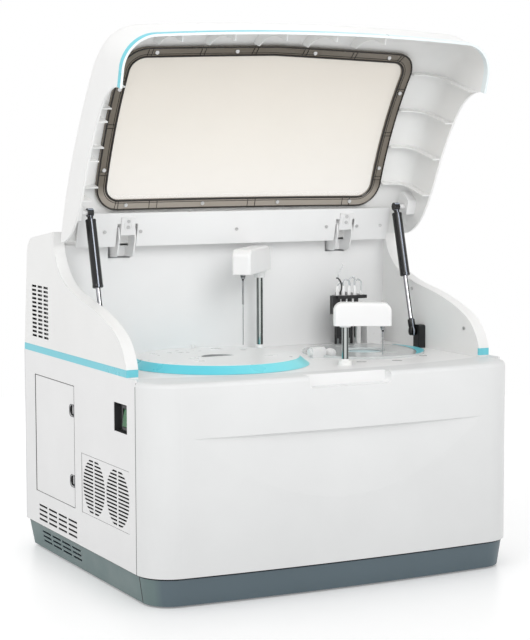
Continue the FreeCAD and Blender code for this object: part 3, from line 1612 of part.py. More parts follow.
def make_struts():
    low, direction, length = strut_ends()
    half = mm("socket_half_width")
    socket = mm("socket_radius")

    def eye(centre):
        return rod(centre - RIGHT * half, RIGHT, socket, 2 * half)

    shaft = rod(low, direction, mm("rod_radius"), mm("rod_end"))
    neck_radius = mm("socket_neck_radius")
    neck = Part.makeCone(neck_radius, mm("rod_radius") * 1.3, mm("socket_neck"), low, direction)
    piston_radius = mm("tube_radius") - mm("tube_wall") - mm("piston_clearance")
    piston_start = low + direction * (mm("rod_end") - mm("piston_length"))
    piston = rod(piston_start, direction, piston_radius, mm("piston_length"))
    stud_hole = rod(low - RIGHT * (half + mm("cut_overrun")), RIGHT,
                    mm("stud_radius") + mm("running_clearance"), 2 * half + 2 * mm("cut_overrun"))
    strut_rod = eye(low).fuse([shaft, neck, piston]).cut(stud_hole).removeSplitter()
    tube_length = mm("tube_end") - mm("tube_start")
    tube_start = low + direction * mm("tube_start")
    tube_top = low + direction * mm("tube_end")
    tube = rod(tube_start, direction, mm("tube_radius"), tube_length)
    top_neck = Part.makeCone(mm("rod_radius") * 1.3, half, length - mm("tube_end"), tube_top, direction)
    tube = tube.fuse([top_neck, eye(low + direction * length)])
    gland = rod(tube_start, direction, mm("rod_radius") + mm("running_clearance"), mm("tube_gland"))
    chamber = rod(tube_start + direction * mm("tube_gland"), direction, mm("tube_radius") - mm("tube_wall"),
                  tube_length - mm("tube_gland") - mm("tube_cap"))
    tube = tube.cut(gland.fuse(chamber)).removeSplitter()
    for side, shape in (("right", lambda part: part), ("left", mirrored)):
        node(side + "_strut_rod", feature(side + "_rod", shape(strut_rod)))
        node(side + "_strut_tube", feature(side + "_tube", shape(tube)))


def make_strut_brackets():
    """Black blocks on the wings for the lower pivots, grey plates on the lid for the upper ones."""
    low, direction, length = strut_ends()
    inner = inner_half()
    half = mm("socket_half_width")
    first = mm("low_bracket_y")
    block_x = inner - mm("low_bracket_depth")
    block = slab((block_x, inner), (first, first + mm("low_bracket_length")),
                 (mm("deck_top"), mm("low_bracket_top")))
    stud_start = low - RIGHT * half
    stud = rod(stud_start, RIGHT, mm("stud_radius"), block_x - stud_start.x)
    node("strut_lower_brackets", feature("low_brackets", both_sides(block.fuse(stud).removeSplitter())))
    plate = strut_plate_shape().common(lid_block(mm("shell_wall"), rounded=True))
    stud_x = low.x + half + mm("panel_gap")
    top_stud = rod(point(stud_x, mm("strut_top_y"), mm("strut_top_z")), RIGHT, mm("stud_radius"),
                   mm("top_bracket_depth"))
    lid_node("strut_upper_brackets", both_sides(plate.fuse(top_stud).removeSplitter()))


# Discs

def make_bowls():
    """The cooled bowl of the reagent disc and the warm bowl of the reaction disc."""
    bowls = []
    for kind in ("reagent", "reaction"):
        place = (f"{kind}_x", f"{kind}_y", f"{kind}_bowl_bottom")
        height = f"deck_top - deck_wall - {kind}_bowl_bottom"
        outer = cylinder(kind + "_bowl_block", place, f"{kind}_bowl_radius + {kind}_bowl_wall", height)
        hollow_place = (f"{kind}_x", f"{kind}_y", f"{kind}_bowl_bottom + bowl_floor")
        hollow = cylinder(kind + "_bowl_hollow", hollow_place, f"{kind}_bowl_radius", height)
        hole = cylinder(kind + "_bowl_hole", place, "shaft_radius + running_clearance", "2 * bowl_floor")
        bowls.append(cut(kind + "_bowl", outer, [hollow, hole]))
    node("disc_bowls", group("bowls", bowls))


def make_reagent_cover():
    place = ("reagent_x", "reagent_y", "deck_top + panel_gap")
    dome = cone("cover_dome", place, "reagent_cover_radius", "reagent_cover_top_radius",
                "reagent_cover_height")
    hollow = cone("cover_hollow", place, "reagent_cover_radius - 1.3 * reagent_cover_wall",
                  "reagent_cover_top_radius - reagent_cover_wall",
                  "reagent_cover_height - reagent_cover_wall")
    top = "deck_top + panel_gap + reagent_cover_height"
    cup = cylinder("grip_cup", ("grip_x", "grip_y", top + " - grip_depth - reagent_cover_wall / 2"),
                   "grip_radius + reagent_cover_wall / 2", "grip_depth + reagent_cover_wall / 2")
    grip = cylinder("grip_hollow", ("grip_x", "grip_y", top + " - grip_depth"), "grip_radius",
                    "grip_depth + cut_overrun")
    keep = box("grip_half", ("grip_x - grip_radius", "grip_y", top + " - grip_depth"),
               ("2 * grip_radius", "grip_radius", "grip_depth + cut_overrun"))
    half_grip = common("grip_half_moon", grip, keep)
    probe_hole = feature("cover_probe_hole", rod(left_probe_place(mm("deck_top") - mm("cut_overrun")), UP,
                                                 mm("probe_hole_radius"), 2 * mm("reagent_cover_height")))
    shell = cut("cover_shell", dome, [hollow])
    lined = fuse("cover_lined", [shell, cup])
    knob = cylinder("cover_knob", ("knob_x", "knob_y", top + " - reagent_cover_wall / 2"), "knob_radius",
                    "knob_height + reagent_cover_wall / 2")
    holed = cut("cover_holed", lined, [half_grip, probe_hole])
    node("reagent_cover", fuse("cover_with_knob", [holed, knob]))


def ring_places(centre, radius, total, phase):
    """Places on a circle, one for each of total steps, starting at the phase angle."""
    places = []
    for index in range(total):
        angle = math.radians(phase + 360 * index / total)
        places.append(centre + point(math.cos(angle), math.sin(angle), 0) * radius)
    return places


def make_carousel():
    centre = point(mm("reagent_x"), mm("reagent_y"), 0)
    plate = mm("carousel_plate")
    low = centre + UP * mm("carousel_low_z")
    high = centre + UP * mm("carousel_top_z")
    floor = rod(low, UP, mm("carousel_radius"), plate)
    top = rod(high, UP, mm("carousel_radius"), plate)
    holes = [
        rod(spot + UP * (mm("carousel_top_z") - plate), UP, mm("bottle_hole_radius"), 3 * plate)
        for spot in ring_places(centre, mm("bottle_ring_radius"), count("bottle_holes"), mm("bottle_phase"))
    ]
    top = top.cut(Part.makeCompound(holes))
    hub = rod(low, UP, mm("carousel_hub_radius"), mm("carousel_top_z") - mm("carousel_low_z"))
    shaft_bottom = mm("reagent_bowl_bottom") - mm("shaft_depth")
    shaft = rod(centre + UP * shaft_bottom, UP, mm("shaft_radius"), mm("carousel_low_z") - shaft_bottom)
    node("reagent_carousel", feature("carousel", floor.fuse([top, hub, shaft]).removeSplitter()))


def make_reaction_disc():
    """The ring of cuvette pockets on its web, hub and shaft."""
    centre = point(mm("reaction_x"), mm("reaction_y"), 0)
    bottom = mm("cuvette_ring_bottom")
    height = mm("cuvette_ring_top") - bottom
    half = mm("cuvette_ring_width") / 2
    radius = mm("cuvette_ring_radius")
    ring = rod(centre + UP * bottom, UP, radius + half, height)
    ring = ring.cut(rod(centre + UP * bottom, UP, radius - half, height))
    pocket_half = mm("cuvette_width") / 2
    pockets = []
    for index in range(count("cuvette_count")):
        hole = slab((radius - pocket_half, radius + pocket_half), (-pocket_half, pocket_half),
                    (mm("cuvette_ring_top") - mm("cuvette_depth"), mm("cuvette_ring_top") + pocket_half))
        hole.rotate(ZERO, UP, mm("cuvette_phase") + 360 * index / count("cuvette_count"))
        hole.translate(centre)
        pockets.append(hole)
    ring = ring.cut(Part.makeCompound(pockets))
    web = rod(centre + UP * bottom, UP, radius, mm("reaction_web"))
    hub_height = mm("deck_top") - bottom
    hub = rod(centre + UP * bottom, UP, mm("reaction_hub_radius"), hub_height)
    shaft_bottom = mm("reaction_bowl_bottom") - mm("shaft_depth")
    shaft = rod(centre + UP * shaft_bottom, UP, mm("shaft_radius"), bottom - shaft_bottom)
    node("reaction_disc", feature("cuvette_disc", ring.fuse([web, hub, shaft]).removeSplitter()))


def nozzle_places():
    """Where the wash nozzles stand over the cuvettes at the back of the ring."""
    centre = point(mm("reaction_x"), mm("reaction_y"), 0)
    places = ring_places(centre, mm("cuvette_ring_radius"), count("cuvette_count"), mm("cuvette_phase"))
    middle = point(mm("wash_nozzle_x"), centre.y + mm("cuvette_ring_radius"), 0)
    places.sort(key=lambda spot: (spot - middle).Length)
    return places[:count("wash_nozzles")]


def make_reaction_cover():
    """The clear ring over the cuvettes, with a slot and holes for the wash nozzles."""
    centre = point(mm("reaction_x"), mm("reaction_y"), mm("deck_top"))
    height = mm("reaction_cover_height")
    cover = rod(centre, UP, mm("reaction_cover_radius"), height)
    cover = cover.cut(rod(centre, UP, mm("reaction_cover_bore"), height))
    holes = [rod(point(spot.x, spot.y, centre.z), UP, mm("wash_hole_radius"), height)
             for spot in nozzle_places()]
    reach = mm("cover_slot_length") / 2
    half = mm("cover_slot_width") / 2
    slot = slab((-reach, reach), (-half, half), (centre.z, centre.z + height))
    slot.rotate(ZERO, UP, mm("cover_slot_angle"))
    slot.translate(point(mm("cover_slot_x"), mm("cover_slot_y"), 0))
    node("reaction_cover", feature("clear_ring", cover.cut(Part.makeCompound(holes + [slot]))))


# Arms

def probe_place(side, height):
    angle = math.radians(mm(side + "_arm_angle"))
    length = mm(side + "_arm_length")
    return point(mm(side + "_arm_x") + length * math.cos(angle),
                 mm(side + "_arm_y") + length * math.sin(angle), height)


def left_probe_place(height):
    return probe_place("left", height)


def arm_head_shape(side):
    """The head's block along +Y from its column, with round top ends and soft edges."""
    bottom = mm(side + "_head_bottom")
    top = bottom + mm(side + "_head_height")
    back = -mm("head_column_overhang")
    front = mm(side + "_arm_length") + mm("head_probe_overhang")
    radius = mm("head_end_radius")
    outline = rounded_wire([
        (back, bottom, 0), (front, bottom, 0), (front, top, radius), (back, top, radius),
    ], "yz")
    head = prism(outline, -mm("head_width") / 2, mm("head_width"), RIGHT)
    edge_radius = mm("head_edge_radius")
    edges = [
        edge for edge in head.Edges
        if edge.BoundBox.XLength < edge_radius and edge.BoundBox.ZMax > bottom + edge_radius
    ]
    return head.makeFillet(edge_radius, edges)


def make_arm(side):
    """A column, the head on it, and the probe that hangs from the head."""
    bottom = mm(side + "_head_bottom")
    column_top = bottom + mm("column_in_head")
    base = point(mm(side + "_arm_x"), mm(side + "_arm_y"), mm("column_foot"))
    column = rod(base, UP, mm("column_radius"), column_top - mm("column_foot"))
    node(side + "_arm_column", feature(side + "_column", column))
    head = arm_head_shape(side)
    quarter_turn = 90
    head.rotate(ZERO, UP, mm(side + "_arm_angle") - quarter_turn)
    head.translate(point(base.x, base.y, 0))
    boss_height = mm(side + "_boss_height")
    boss_start = point(base.x, base.y, bottom - boss_height)
    head = head.fuse(rod(boss_start, UP, mm("boss_radius"), boss_height))
    bore_radius = mm("column_radius") + mm("running_clearance")
    head = head.cut(rod(boss_start, UP, bore_radius, column_top - boss_start.z))
    node(side + "_arm_head", feature(side + "_head", head.removeSplitter()))
    tip = probe_place(side, mm(side + "_probe_tip"))
    needle = rod(tip, UP, mm("probe_radius"), bottom - tip.z)
    sleeve_end = mm(side + "_sleeve_end")
    sleeve = rod(point(tip.x, tip.y, sleeve_end), UP, mm("probe_sleeve_radius"), bottom - sleeve_end)
    collar_start = point(tip.x, tip.y, bottom - mm("probe_collar_height"))
    collar = Part.makeCone(mm("probe_sleeve_radius") * 2, mm("probe_collar_radius"),
                           mm("probe_collar_height"), collar_start, UP)
    node(side + "_probe", feature(side + "_needle", needle.fuse([sleeve, collar]).removeSplitter()))


def make_drives():
    """Motors under the two bowls, and the lift and swing units under the two arms."""
    units = []
    for kind in ("reagent", "reaction"):
        width = f"{kind}_motor_width"
        block = box(kind + "_motor_block",
                    (f"{kind}_x - {width} / 2", f"{kind}_y - {width} / 2",
                     f"{kind}_bowl_bottom - {kind}_motor_height"), (width, width, f"{kind}_motor_height"))
        bore = cylinder(kind + "_motor_bore",
                        (f"{kind}_x", f"{kind}_y", f"{kind}_bowl_bottom - shaft_depth - cut_overrun"),
                        "shaft_radius + running_clearance", "shaft_depth + 2 * cut_overrun")
        units.append(cut(kind + "_motor", block, [bore]))
    for side in ("left", "right"):
        block = box(side + "_drive_block",
                    (f"{side}_arm_x - arm_drive_width / 2", f"{side}_arm_y - arm_drive_depth / 2",
                     "arm_drive_bottom"),
                    ("arm_drive_width", "arm_drive_depth", "deck_top - deck_wall - arm_drive_bottom"))
        neck = cylinder(side + "_drive_neck", (f"{side}_arm_x", f"{side}_arm_y", "arm_drive_bottom"),
                        "arm_neck_radius", f"deck_top + {side}_neck_height - arm_drive_bottom")
        bore = cylinder(side + "_drive_bore",
                        (f"{side}_arm_x", f"{side}_arm_y", "arm_drive_bottom + shell_wall"),
                        "column_radius + running_clearance",
                        f"deck_top + {side}_neck_height - arm_drive_bottom")
        units.append(cut(side + "_drive", fuse(side + "_drive_solid", [block, neck]), [bore]))
    node("drive_units", group("drives", units))


# Wash station and the small pieces beside it

def wash_head_shape(places):
    """The lifting plate with its guide rod, nozzle sleeves and connector block."""
    tower_x = mm("wash_tower_x")
    tower_y = mm("wash_tower_y")
    plate_z = mm("wash_plate_z")
    levels = (plate_z, plate_z + mm("wash_plate_wall"))
    front = mm("wash_bar_front")
    left = mm("wash_bar_left")
    neck_half = mm("wash_neck_width") / 2
    bar = slab((left, left + mm("wash_bar_width")), (front, front + mm("wash_bar_depth")), levels)
    neck = slab((tower_x - neck_half, tower_x + neck_half),
                (front, tower_y + mm("wash_tower_depth") / 2), levels)
    rod_height = mm("wash_rod_height")
    guide = rod(point(tower_x, tower_y, plate_z - rod_height), UP, mm("wash_rod_radius"), rod_height)
    size = mm("wash_block_width")
    connector = slab((mm("wash_block_left"), mm("wash_block_left") + size),
                     (mm("wash_block_front"), mm("wash_block_front") + size),
                     (mm("wash_block_bottom"), plate_z + mm("wash_plate_wall")))
    length = mm("wash_sleeve_length")
    sleeves = [
        rod(point(spot.x, spot.y, plate_z - length), UP, mm("wash_sleeve_radius"), length)
        for spot in places
    ]
    return bar.fuse([neck, guide, connector] + sleeves).removeSplitter()


def make_wash_station():
    half_width_x = mm("wash_tower_width") / 2
    half_depth_y = mm("wash_tower_depth") / 2
    tower_x = mm("wash_tower_x")
    tower_y = mm("wash_tower_y")
    deck = mm("deck_top")
    tower = slab((tower_x - half_width_x, tower_x + half_width_x),
                 (tower_y - half_depth_y, tower_y + half_depth_y), (deck, mm("wash_tower_top")))
    bore = rod(point(tower_x, tower_y, deck), UP, mm("wash_rod_radius") + mm("running_clearance"),
               mm("wash_tower_top") - deck)
    node("wash_tower", feature("tower", tower.cut(bore)))
    places = nozzle_places()
    node("wash_head", feature("head_of_wash", wash_head_shape(places)))
    tip = mm("wash_needle_tip")
    sleeve_end = mm("wash_plate_z") - mm("wash_sleeve_length")
    needles = [rod(point(spot.x, spot.y, tip), UP, mm("wash_needle_radius"), sleeve_end - tip)
               for spot in places]
    node("wash_needles", feature("needles", Part.makeCompound(needles)))
    tube_z = mm("wash_plate_z") + mm("wash_plate_wall")
    tubes = [wash_tube(point(spot.x, spot.y, tube_z)) for spot in places]
    node("wash_tubes", feature("tubes", Part.makeCompound(tubes)))


def wash_tube(start):
    """A thin clear tube that leaves a nozzle, arches back and returns to the plate."""
    rise = mm("wash_tube_rise")
    reach = mm("wash_tube_reach")
    over = start + UP * rise
    end = start + BACK * reach
    middle = over + BACK * (reach / 2) + UP * (reach / 2)
    path = Part.Wire([
        Part.LineSegment(start, over).toShape(),
        Part.Arc(over, middle, end + UP * rise).toShape(),
        Part.LineSegment(end + UP * rise, end).toShape(),
    ])
    section = Part.Wire([Part.Circle(start, UP, mm("wash_tube_radius")).toShape()])
    return path.makePipeShell([section], True, False)


def make_deck_fittings():
    """The posts beside the wash tower, a lying rinse nozzle and the low dome on the clear ring."""
    deck = mm("deck_top")
    post = rod(point(mm("side_post_x"), mm("side_post_y"), deck), UP, mm("side_post_radius"),
               mm("side_post_height"))
    block_x = mm("side_block_x")
    half_depth = mm("side_block_depth") / 2
    block = slab((block_x, block_x + mm("side_block_width")),
                 (mm("side_block_y") - half_depth, mm("side_block_y") + half_depth),
                 (deck, deck + mm("side_post_height")))
    radius = mm("well_radius")
    tip_share = 0.7
    centre = point(mm("well_x"), mm("well_y"), deck + radius)
    barrel = rod(centre, RIGHT, radius, mm("well_length"))
    tip = rod(centre - RIGHT * mm("well_tip_length"), RIGHT, radius * tip_share, mm("well_tip_length"))
    foot = slab((centre.x, centre.x + mm("well_length")), (centre.y - radius, centre.y + radius),
                (deck, centre.z))
    ring_place = point(mm("reaction_x"), mm("reaction_y"), deck)
    ring = rod(ring_place, UP, mm("reaction_cover_radius") + mm("panel_gap"), mm("reaction_cover_height"))
    well = barrel.fuse([tip, foot]).removeSplitter().cut(ring)
    dome_centre = point(mm("dome_x"), mm("dome_y"), deck + mm("reaction_cover_height"))
    dome = Part.makeSphere(mm("dome_radius"), dome_centre, UP, 0, 90, 360)
    node("deck_fittings", feature("fittings", Part.makeCompound([post, block, well, dome])))


# Rear and inside

def make_inlet():
    back = rear_y()
    width = mm("inlet_width") / 2
    bottom = mm("inlet_z")
    top = bottom + mm("inlet_height")
    left = mm("inlet_x")
    margin = mm("inlet_socket_margin")
    block = slab((left - width, left + width), (back - mm("inlet_depth"), back), (bottom, top))
    socket = slab((left - width + margin, left + width - margin),
                  (back - mm("inlet_depth") + margin, back), (bottom + margin, top - margin))
    pins = []
    for step in (-1, 0, 1):
        place = point(left + step * width / 3, back - mm("inlet_depth") + margin, (bottom + top) / 2)
        pins.append(rod(place, BACK, mm("inlet_pin_radius"), mm("inlet_depth") - 2 * margin))
    node("mains_inlet", feature("inlet", block.cut(socket).fuse(pins).removeSplitter()))


def make_ports():
    """The water and waste ports on a plate set back behind the rear panel."""
    inside = rear_y() - mm("rear_panel_wall")
    half = mm("port_width") / 2
    wall = mm("rear_panel_wall") / 2
    low = mm("port_z")
    high = low + mm("port_height")
    left = mm("port_x")
    tray = slab((left - half - wall, left + half + wall), (inside - mm("port_depth"), inside),
                (low - wall, high + wall))
    tray = tray.cut(slab((left - half, left + half), (inside - mm("port_depth") + wall, inside), (low, high)))
    total = count("port_count")
    nipples = []
    bores = []
    for index in range(total):
        x = left + (index - (total - 1) / 2) * mm("port_pitch")
        start = point(x, inside - mm("port_depth") + wall, (low + high) / 2)
        nipples.append(rod(start, BACK, mm("port_radius"), mm("port_length")))
        bores.append(rod(start, BACK, mm("port_bore"), mm("port_length")))
    tray = tray.fuse(nipples).cut(Part.makeCompound(bores))
    node("fluid_port_tray", feature("ports", tray.removeSplitter()))


def make_electronics():
    floor = "skirt_bottom + skirt_wall + pan_wall"
    node("power_supply", box("supply", ("supply_x", "supply_y", floor),
                             ("supply_width", "supply_depth", "supply_height")))
    inside = "body_depth / 2 - rear_panel_wall"
    plate = box("board_plate", ("-board_half_width", inside + " - board_standoff - board_wall", "board_bottom"),
                ("2 * board_half_width", "board_wall", "board_height"))
    parts = [plate]
    for x in ("board_half_width - board_margin", "board_margin - board_half_width"):
        for z in ("board_bottom + board_margin", "board_bottom + board_height - board_margin"):
            parts.append(cylinder("standoff", (x, inside + " - board_standoff", z),
                                  "standoff_radius", "board_standoff", along="y"))
    node("control_board", fuse("board", parts))


def make_pumps():
    pumps = []
    floor = "skirt_bottom + skirt_wall + pan_wall"
    for index in range(count("pump_count")):
        y = f"pump_y + {index} * pump_pitch"
        block = box("pump_block", ("pump_x", y, floor), ("pump_width", "pump_width", "pump_height"))
        syringe = cylinder("syringe", ("pump_x + pump_width / 2", y + " + pump_width / 2",
                                       floor + " + pump_height"), "syringe_radius", "syringe_height")
        pumps.append(fuse("pump", [block, syringe]))
    node("syringe_pumps", group("pumps", pumps))


def check_and_write():
    """Stops if any object failed, then writes each node's solids."""
    doc.recompute()
    for item in doc.Objects:
        if "Invalid" in item.State or "Error" in item.State:
            raise SystemExit(f"{item.Name} ({item.Label}) failed: {item.State}")
    for name, item in NODES.items():
        shape = item.Shape
        if shape.isNull() or not shape.isValid() or not shape.Solids:
            raise SystemExit(f"{name} has no valid solid")
    os.makedirs("parts", exist_ok=True)
    for name, item in NODES.items():
        item.Shape.exportStep(os.path.join("parts", name + ".step"))
        box_size = item.Shape.BoundBox
        print(f"{name}: {len(item.Shape.Solids)} solids, volume {item.Shape.Volume / 1000:.1f} cm3, "
              f"x {box_size.XMin:.1f}..{box_size.XMax:.1f} y {box_size.YMin:.1f}..{box_size.YMax:.1f} "
              f"z {box_size.ZMin:.1f}..{box_size.ZMax:.1f}")
    print(len(NODES), "nodes")


def build():
    make_skirt()
    make_base_pan()
    make_feet()
    make_chassis()
    make_front_cover()
    make_right_panel()
    make_left_panel()
    make_rear_panel()
    make_wings()
    make_stripes()
    make_rear_cover()
    make_deck()
    make_back_wall()
    make_wing_screws()
    make_grille()
    make_fans()
    make_side_door()
    make_door_hinges()
    make_switch()
    make_lid()
    make_lid_hinges()
    make_struts()
    make_strut_brackets()
    make_bowls()
    make_reagent_cover()
    make_carousel()
    make_reaction_disc()
    make_reaction_cover()
    for side in ("left", "right"):
        make_arm(side)
    make_drives()
    make_wash_station()
    make_deck_fittings()
    make_inlet()
    make_ports()
    make_electronics()
    make_pumps()
    check_and_write()


build()
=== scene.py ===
import math

import bmesh
import bpy
from mathutils import Matrix, Vector
from mathutils.bvhtree import BVHTree


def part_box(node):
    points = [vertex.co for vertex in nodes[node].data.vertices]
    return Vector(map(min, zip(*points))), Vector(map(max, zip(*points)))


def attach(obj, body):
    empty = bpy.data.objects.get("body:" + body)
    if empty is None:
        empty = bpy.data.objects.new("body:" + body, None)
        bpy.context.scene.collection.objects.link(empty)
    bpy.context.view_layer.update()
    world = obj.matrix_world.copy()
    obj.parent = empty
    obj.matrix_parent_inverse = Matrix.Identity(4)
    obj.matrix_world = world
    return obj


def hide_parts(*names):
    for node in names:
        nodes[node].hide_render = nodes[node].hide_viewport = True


# Looks for the benchtop chemistry analyzer, in the frame of the solids: +X right of the front,
# +Y back, +Z up. The lid is open at rest. Materials, lights and the camera are in metres.
# The added pieces are drawn in millimetres.

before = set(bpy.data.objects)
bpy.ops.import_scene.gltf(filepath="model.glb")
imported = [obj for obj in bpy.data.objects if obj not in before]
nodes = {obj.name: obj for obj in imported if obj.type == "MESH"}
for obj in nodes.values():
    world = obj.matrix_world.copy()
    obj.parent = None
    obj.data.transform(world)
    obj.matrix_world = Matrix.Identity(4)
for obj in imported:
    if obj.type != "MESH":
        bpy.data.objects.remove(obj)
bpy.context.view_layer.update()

MM = 0.001
UP = Vector((0, 0, 1))


def box_mm(name):
    """The low and the high corner of a node's box, in millimetres."""
    return [Vector(corner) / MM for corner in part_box(name)]


# The lid's two poses, in millimetres

LID_PIVOT = Vector((0, 120, 578))
LID_ANGLE = math.radians(74)
LID_OPEN = (Matrix.Translation(LID_PIVOT) @ Matrix.Rotation(-LID_ANGLE, 4, "X")
            @ Matrix.Translation(-LID_PIVOT))
LID_SHUT = LID_OPEN.inverted()
LID_UNDERSIDE = LID_OPEN.to_3x3() @ -UP


def opened(x, y, z):
    """A point of the shut lid, where it lies at rest."""
    return LID_OPEN @ Vector((x, y, z))


# The photograph's viewpoint, from a fit to the housing's edges

CAMERA_PLACE = Vector((-1.4461, -2.8210, 0.7250))
CAMERA_TARGET = Vector((-0.00167, 0.0050, 0.4176))
CAMERA_ROLL = -0.125
CAMERA_LENS = 101.52
SENSOR_WIDTH = 36.0
CAMERA_SHIFT = (0.0028, 0.0039)
ACROSS = (CAMERA_TARGET - CAMERA_PLACE).cross(UP).normalized()


# Colours


def srgb(red, green, blue):
    """A colour written as it shows on screen, turned into linear light."""
    def linear(value):
        value = value / 255
        return value / 12.92 if value <= 0.04045 else ((value + 0.055) / 1.055) ** 2.4
    return (linear(red), linear(green), linear(blue), 1.0)


def scaled(color, factor):
    return tuple(min(1.0, part * factor) for part in color[:3]) + (1.0,)


# Materials


class Nodes:
    """Adds and links the nodes of one material or world."""

    def __init__(self, name="", owner=None, shader="Principled BSDF"):
        self.owner = owner or bpy.data.materials.new(name)
        self.owner.use_nodes = True
        self.tree = self.owner.node_tree
        self.shader = self.tree.nodes[shader]

    def add(self, kind, inputs=None, **settings):
        """A new node, with some of its inputs linked or set."""
        item = self.tree.nodes.new(kind)
        for key, value in settings.items():
            setattr(item, key, value)
        for key, source in (inputs or {}).items():
            self.feed(source, item.inputs[key])
        return item

    def feed(self, source, target):
        """Links a node or an output to an input, or sets the input to a plain value."""
        if isinstance(source, bpy.types.Node):
            source = source.outputs[0]
        if isinstance(source, bpy.types.NodeSocket):
            self.tree.links.new(source, target)
        else:
            target.default_value = source

    def shade(self, **inputs):
        """Links or sets inputs of the shader, which are named with underscores."""
        for key, source in inputs.items():
            self.feed(source, self.shader.inputs[key.replace("_", " ")])

    def base_color(self):
        """What the shader's colour is linked to so far."""
        return self.shader.inputs["Base Color"].links[0].from_socket

    def place(self):
        """Object coordinates; those of the CAD nodes are the row frame's."""
        return self.add("ShaderNodeTexCoord").outputs["Object"]

    def position(self):
        """Object coordinates as three separate values."""
        return tuple(self.add("ShaderNodeSeparateXYZ", {"Vector": self.place()}).outputs)

    def distance(self, centre):
        """How far a point lies from an upright axis."""
        offset = self.add("ShaderNodeVectorMath", {0: self.place(), 1: (*centre, 0)}, operation="SUBTRACT")
        flat = self.add("ShaderNodeVectorMath", {0: offset, 1: (1, 1, 0)}, operation="MULTIPLY")
        return self.add("ShaderNodeVectorMath", {0: flat}, operation="LENGTH").outputs["Value"]

    def facing(self, direction):
        """How much the surface faces a direction of its own body, from -1 to 1."""
        normal = self.add("ShaderNodeTexCoord").outputs["Normal"]
        product = self.add("ShaderNodeVectorMath", {0: normal, 1: direction}, operation="DOT_PRODUCT")
        return product.outputs["Value"]

    def noise(self, place, scale, detail):
        item = self.add("ShaderNodeTexNoise", {"Vector": place, "Scale": scale, "Detail": detail})
        return item.outputs["Fac"]

    def step(self, value, low, high, first=0.0, last=1.0):
        """A ramp from one value at low to another at high, level outside them."""
        item = self.add("ShaderNodeMapRange", {
            "Value": value, "From Min": low, "From Max": high, "To Min": first, "To Max": last})
        return item.outputs["Result"]

    def stretch(self, noise, first, last):
        """Spreads the middle of a noise, where most of it lies, over a range."""
        return self.step(noise, NOISE_LOW, NOISE_HIGH, first, last)

    def combine(self, operation, *values):
        """Joins masks: MULTIPLY is where all hold, MAXIMUM where any holds."""
        total = values[0]
        for value in values[1:]:
            total = self.add("ShaderNodeMath", {0: total, 1: value}, operation=operation).outputs[0]
        return total

    def mix(self, factor, first, second, blend_type="MIX"):
        item = self.add("ShaderNodeMix", {"Factor": factor, 6: first, 7: second},
                        data_type="RGBA", blend_type=blend_type)
        return item.outputs[2]


NOISE_LOW = 0.3
NOISE_HIGH = 0.7
GRAIN_HEIGHT = 0.4 * MM
GLOSS_SPREAD = 0.12
BRUSH_HEIGHT = 0.2 * MM
BRUSH_STRETCH = 0.02


def surface(name, color, roughness, grain=0.04, grain_scale=900.0, patches=0.02, edge=0.6):
    """A material with mottled colour, uneven gloss, a fine grain and softened edges."""
    made = Nodes(name)
    place = made.place()
    clouds = made.stretch(made.noise(place, scale=7.0, detail=4.0), 0.0, 1.0)
    smudges = made.noise(place, scale=26.0, detail=3.0)
    bump = made.add("ShaderNodeBump", {
        "Height": made.noise(place, grain_scale, detail=2.0), "Strength": grain, "Distance": GRAIN_HEIGHT})
    if edge:
        made.feed(made.add("ShaderNodeBevel", {"Radius": edge * MM}, samples=4), bump.inputs["Normal"])
    made.shade(
        Base_Color=made.mix(clouds, scaled(color, 1 - patches), scaled(color, 1 + patches)),
        Roughness=made.stretch(smudges, roughness * (1 - GLOSS_SPREAD), roughness * (1 + GLOSS_SPREAD)),
        Normal=bump)
    return made.owner


def brushed(name, color, roughness, axis):
    """Bare metal with fine lines along one axis."""
    made = Nodes(name)
    factors = [1.0, 1.0, 1.0]
    factors["xyz".index(axis)] = BRUSH_STRETCH
    lengthened = made.add("ShaderNodeMapping", {"Vector": made.place(), "Scale": factors})
    lines = made.noise(lengthened, scale=1800.0, detail=2.0)
    made.shade(
        Base_Color=made.mix(lines, scaled(color, 0.9), scaled(color, 1.08)),
        Roughness=made.stretch(lines, roughness * 0.8, roughness * 1.3),
        Normal=made.add("ShaderNodeBump", {"Height": lines, "Strength": 0.05, "Distance": BRUSH_HEIGHT}),
        Metallic=1.0)
    return made.owner


def clear(name, color, alpha, roughness=0.08):
    """See-through plastic, tinted, with faint streaks."""
    made = Nodes(name)
    place = made.place()
    clouds = made.noise(place, scale=5.0, detail=3.0)
    streaks = made.noise(place, scale=30.0, detail=2.0)
    made.shade(
        Base_Color=made.mix(clouds, scaled(color, 0.96), scaled(color, 1.04)),
        Roughness=made.stretch(streaks, roughness * 0.7, roughness * 1.4),
        Alpha=alpha)
    return made.owner


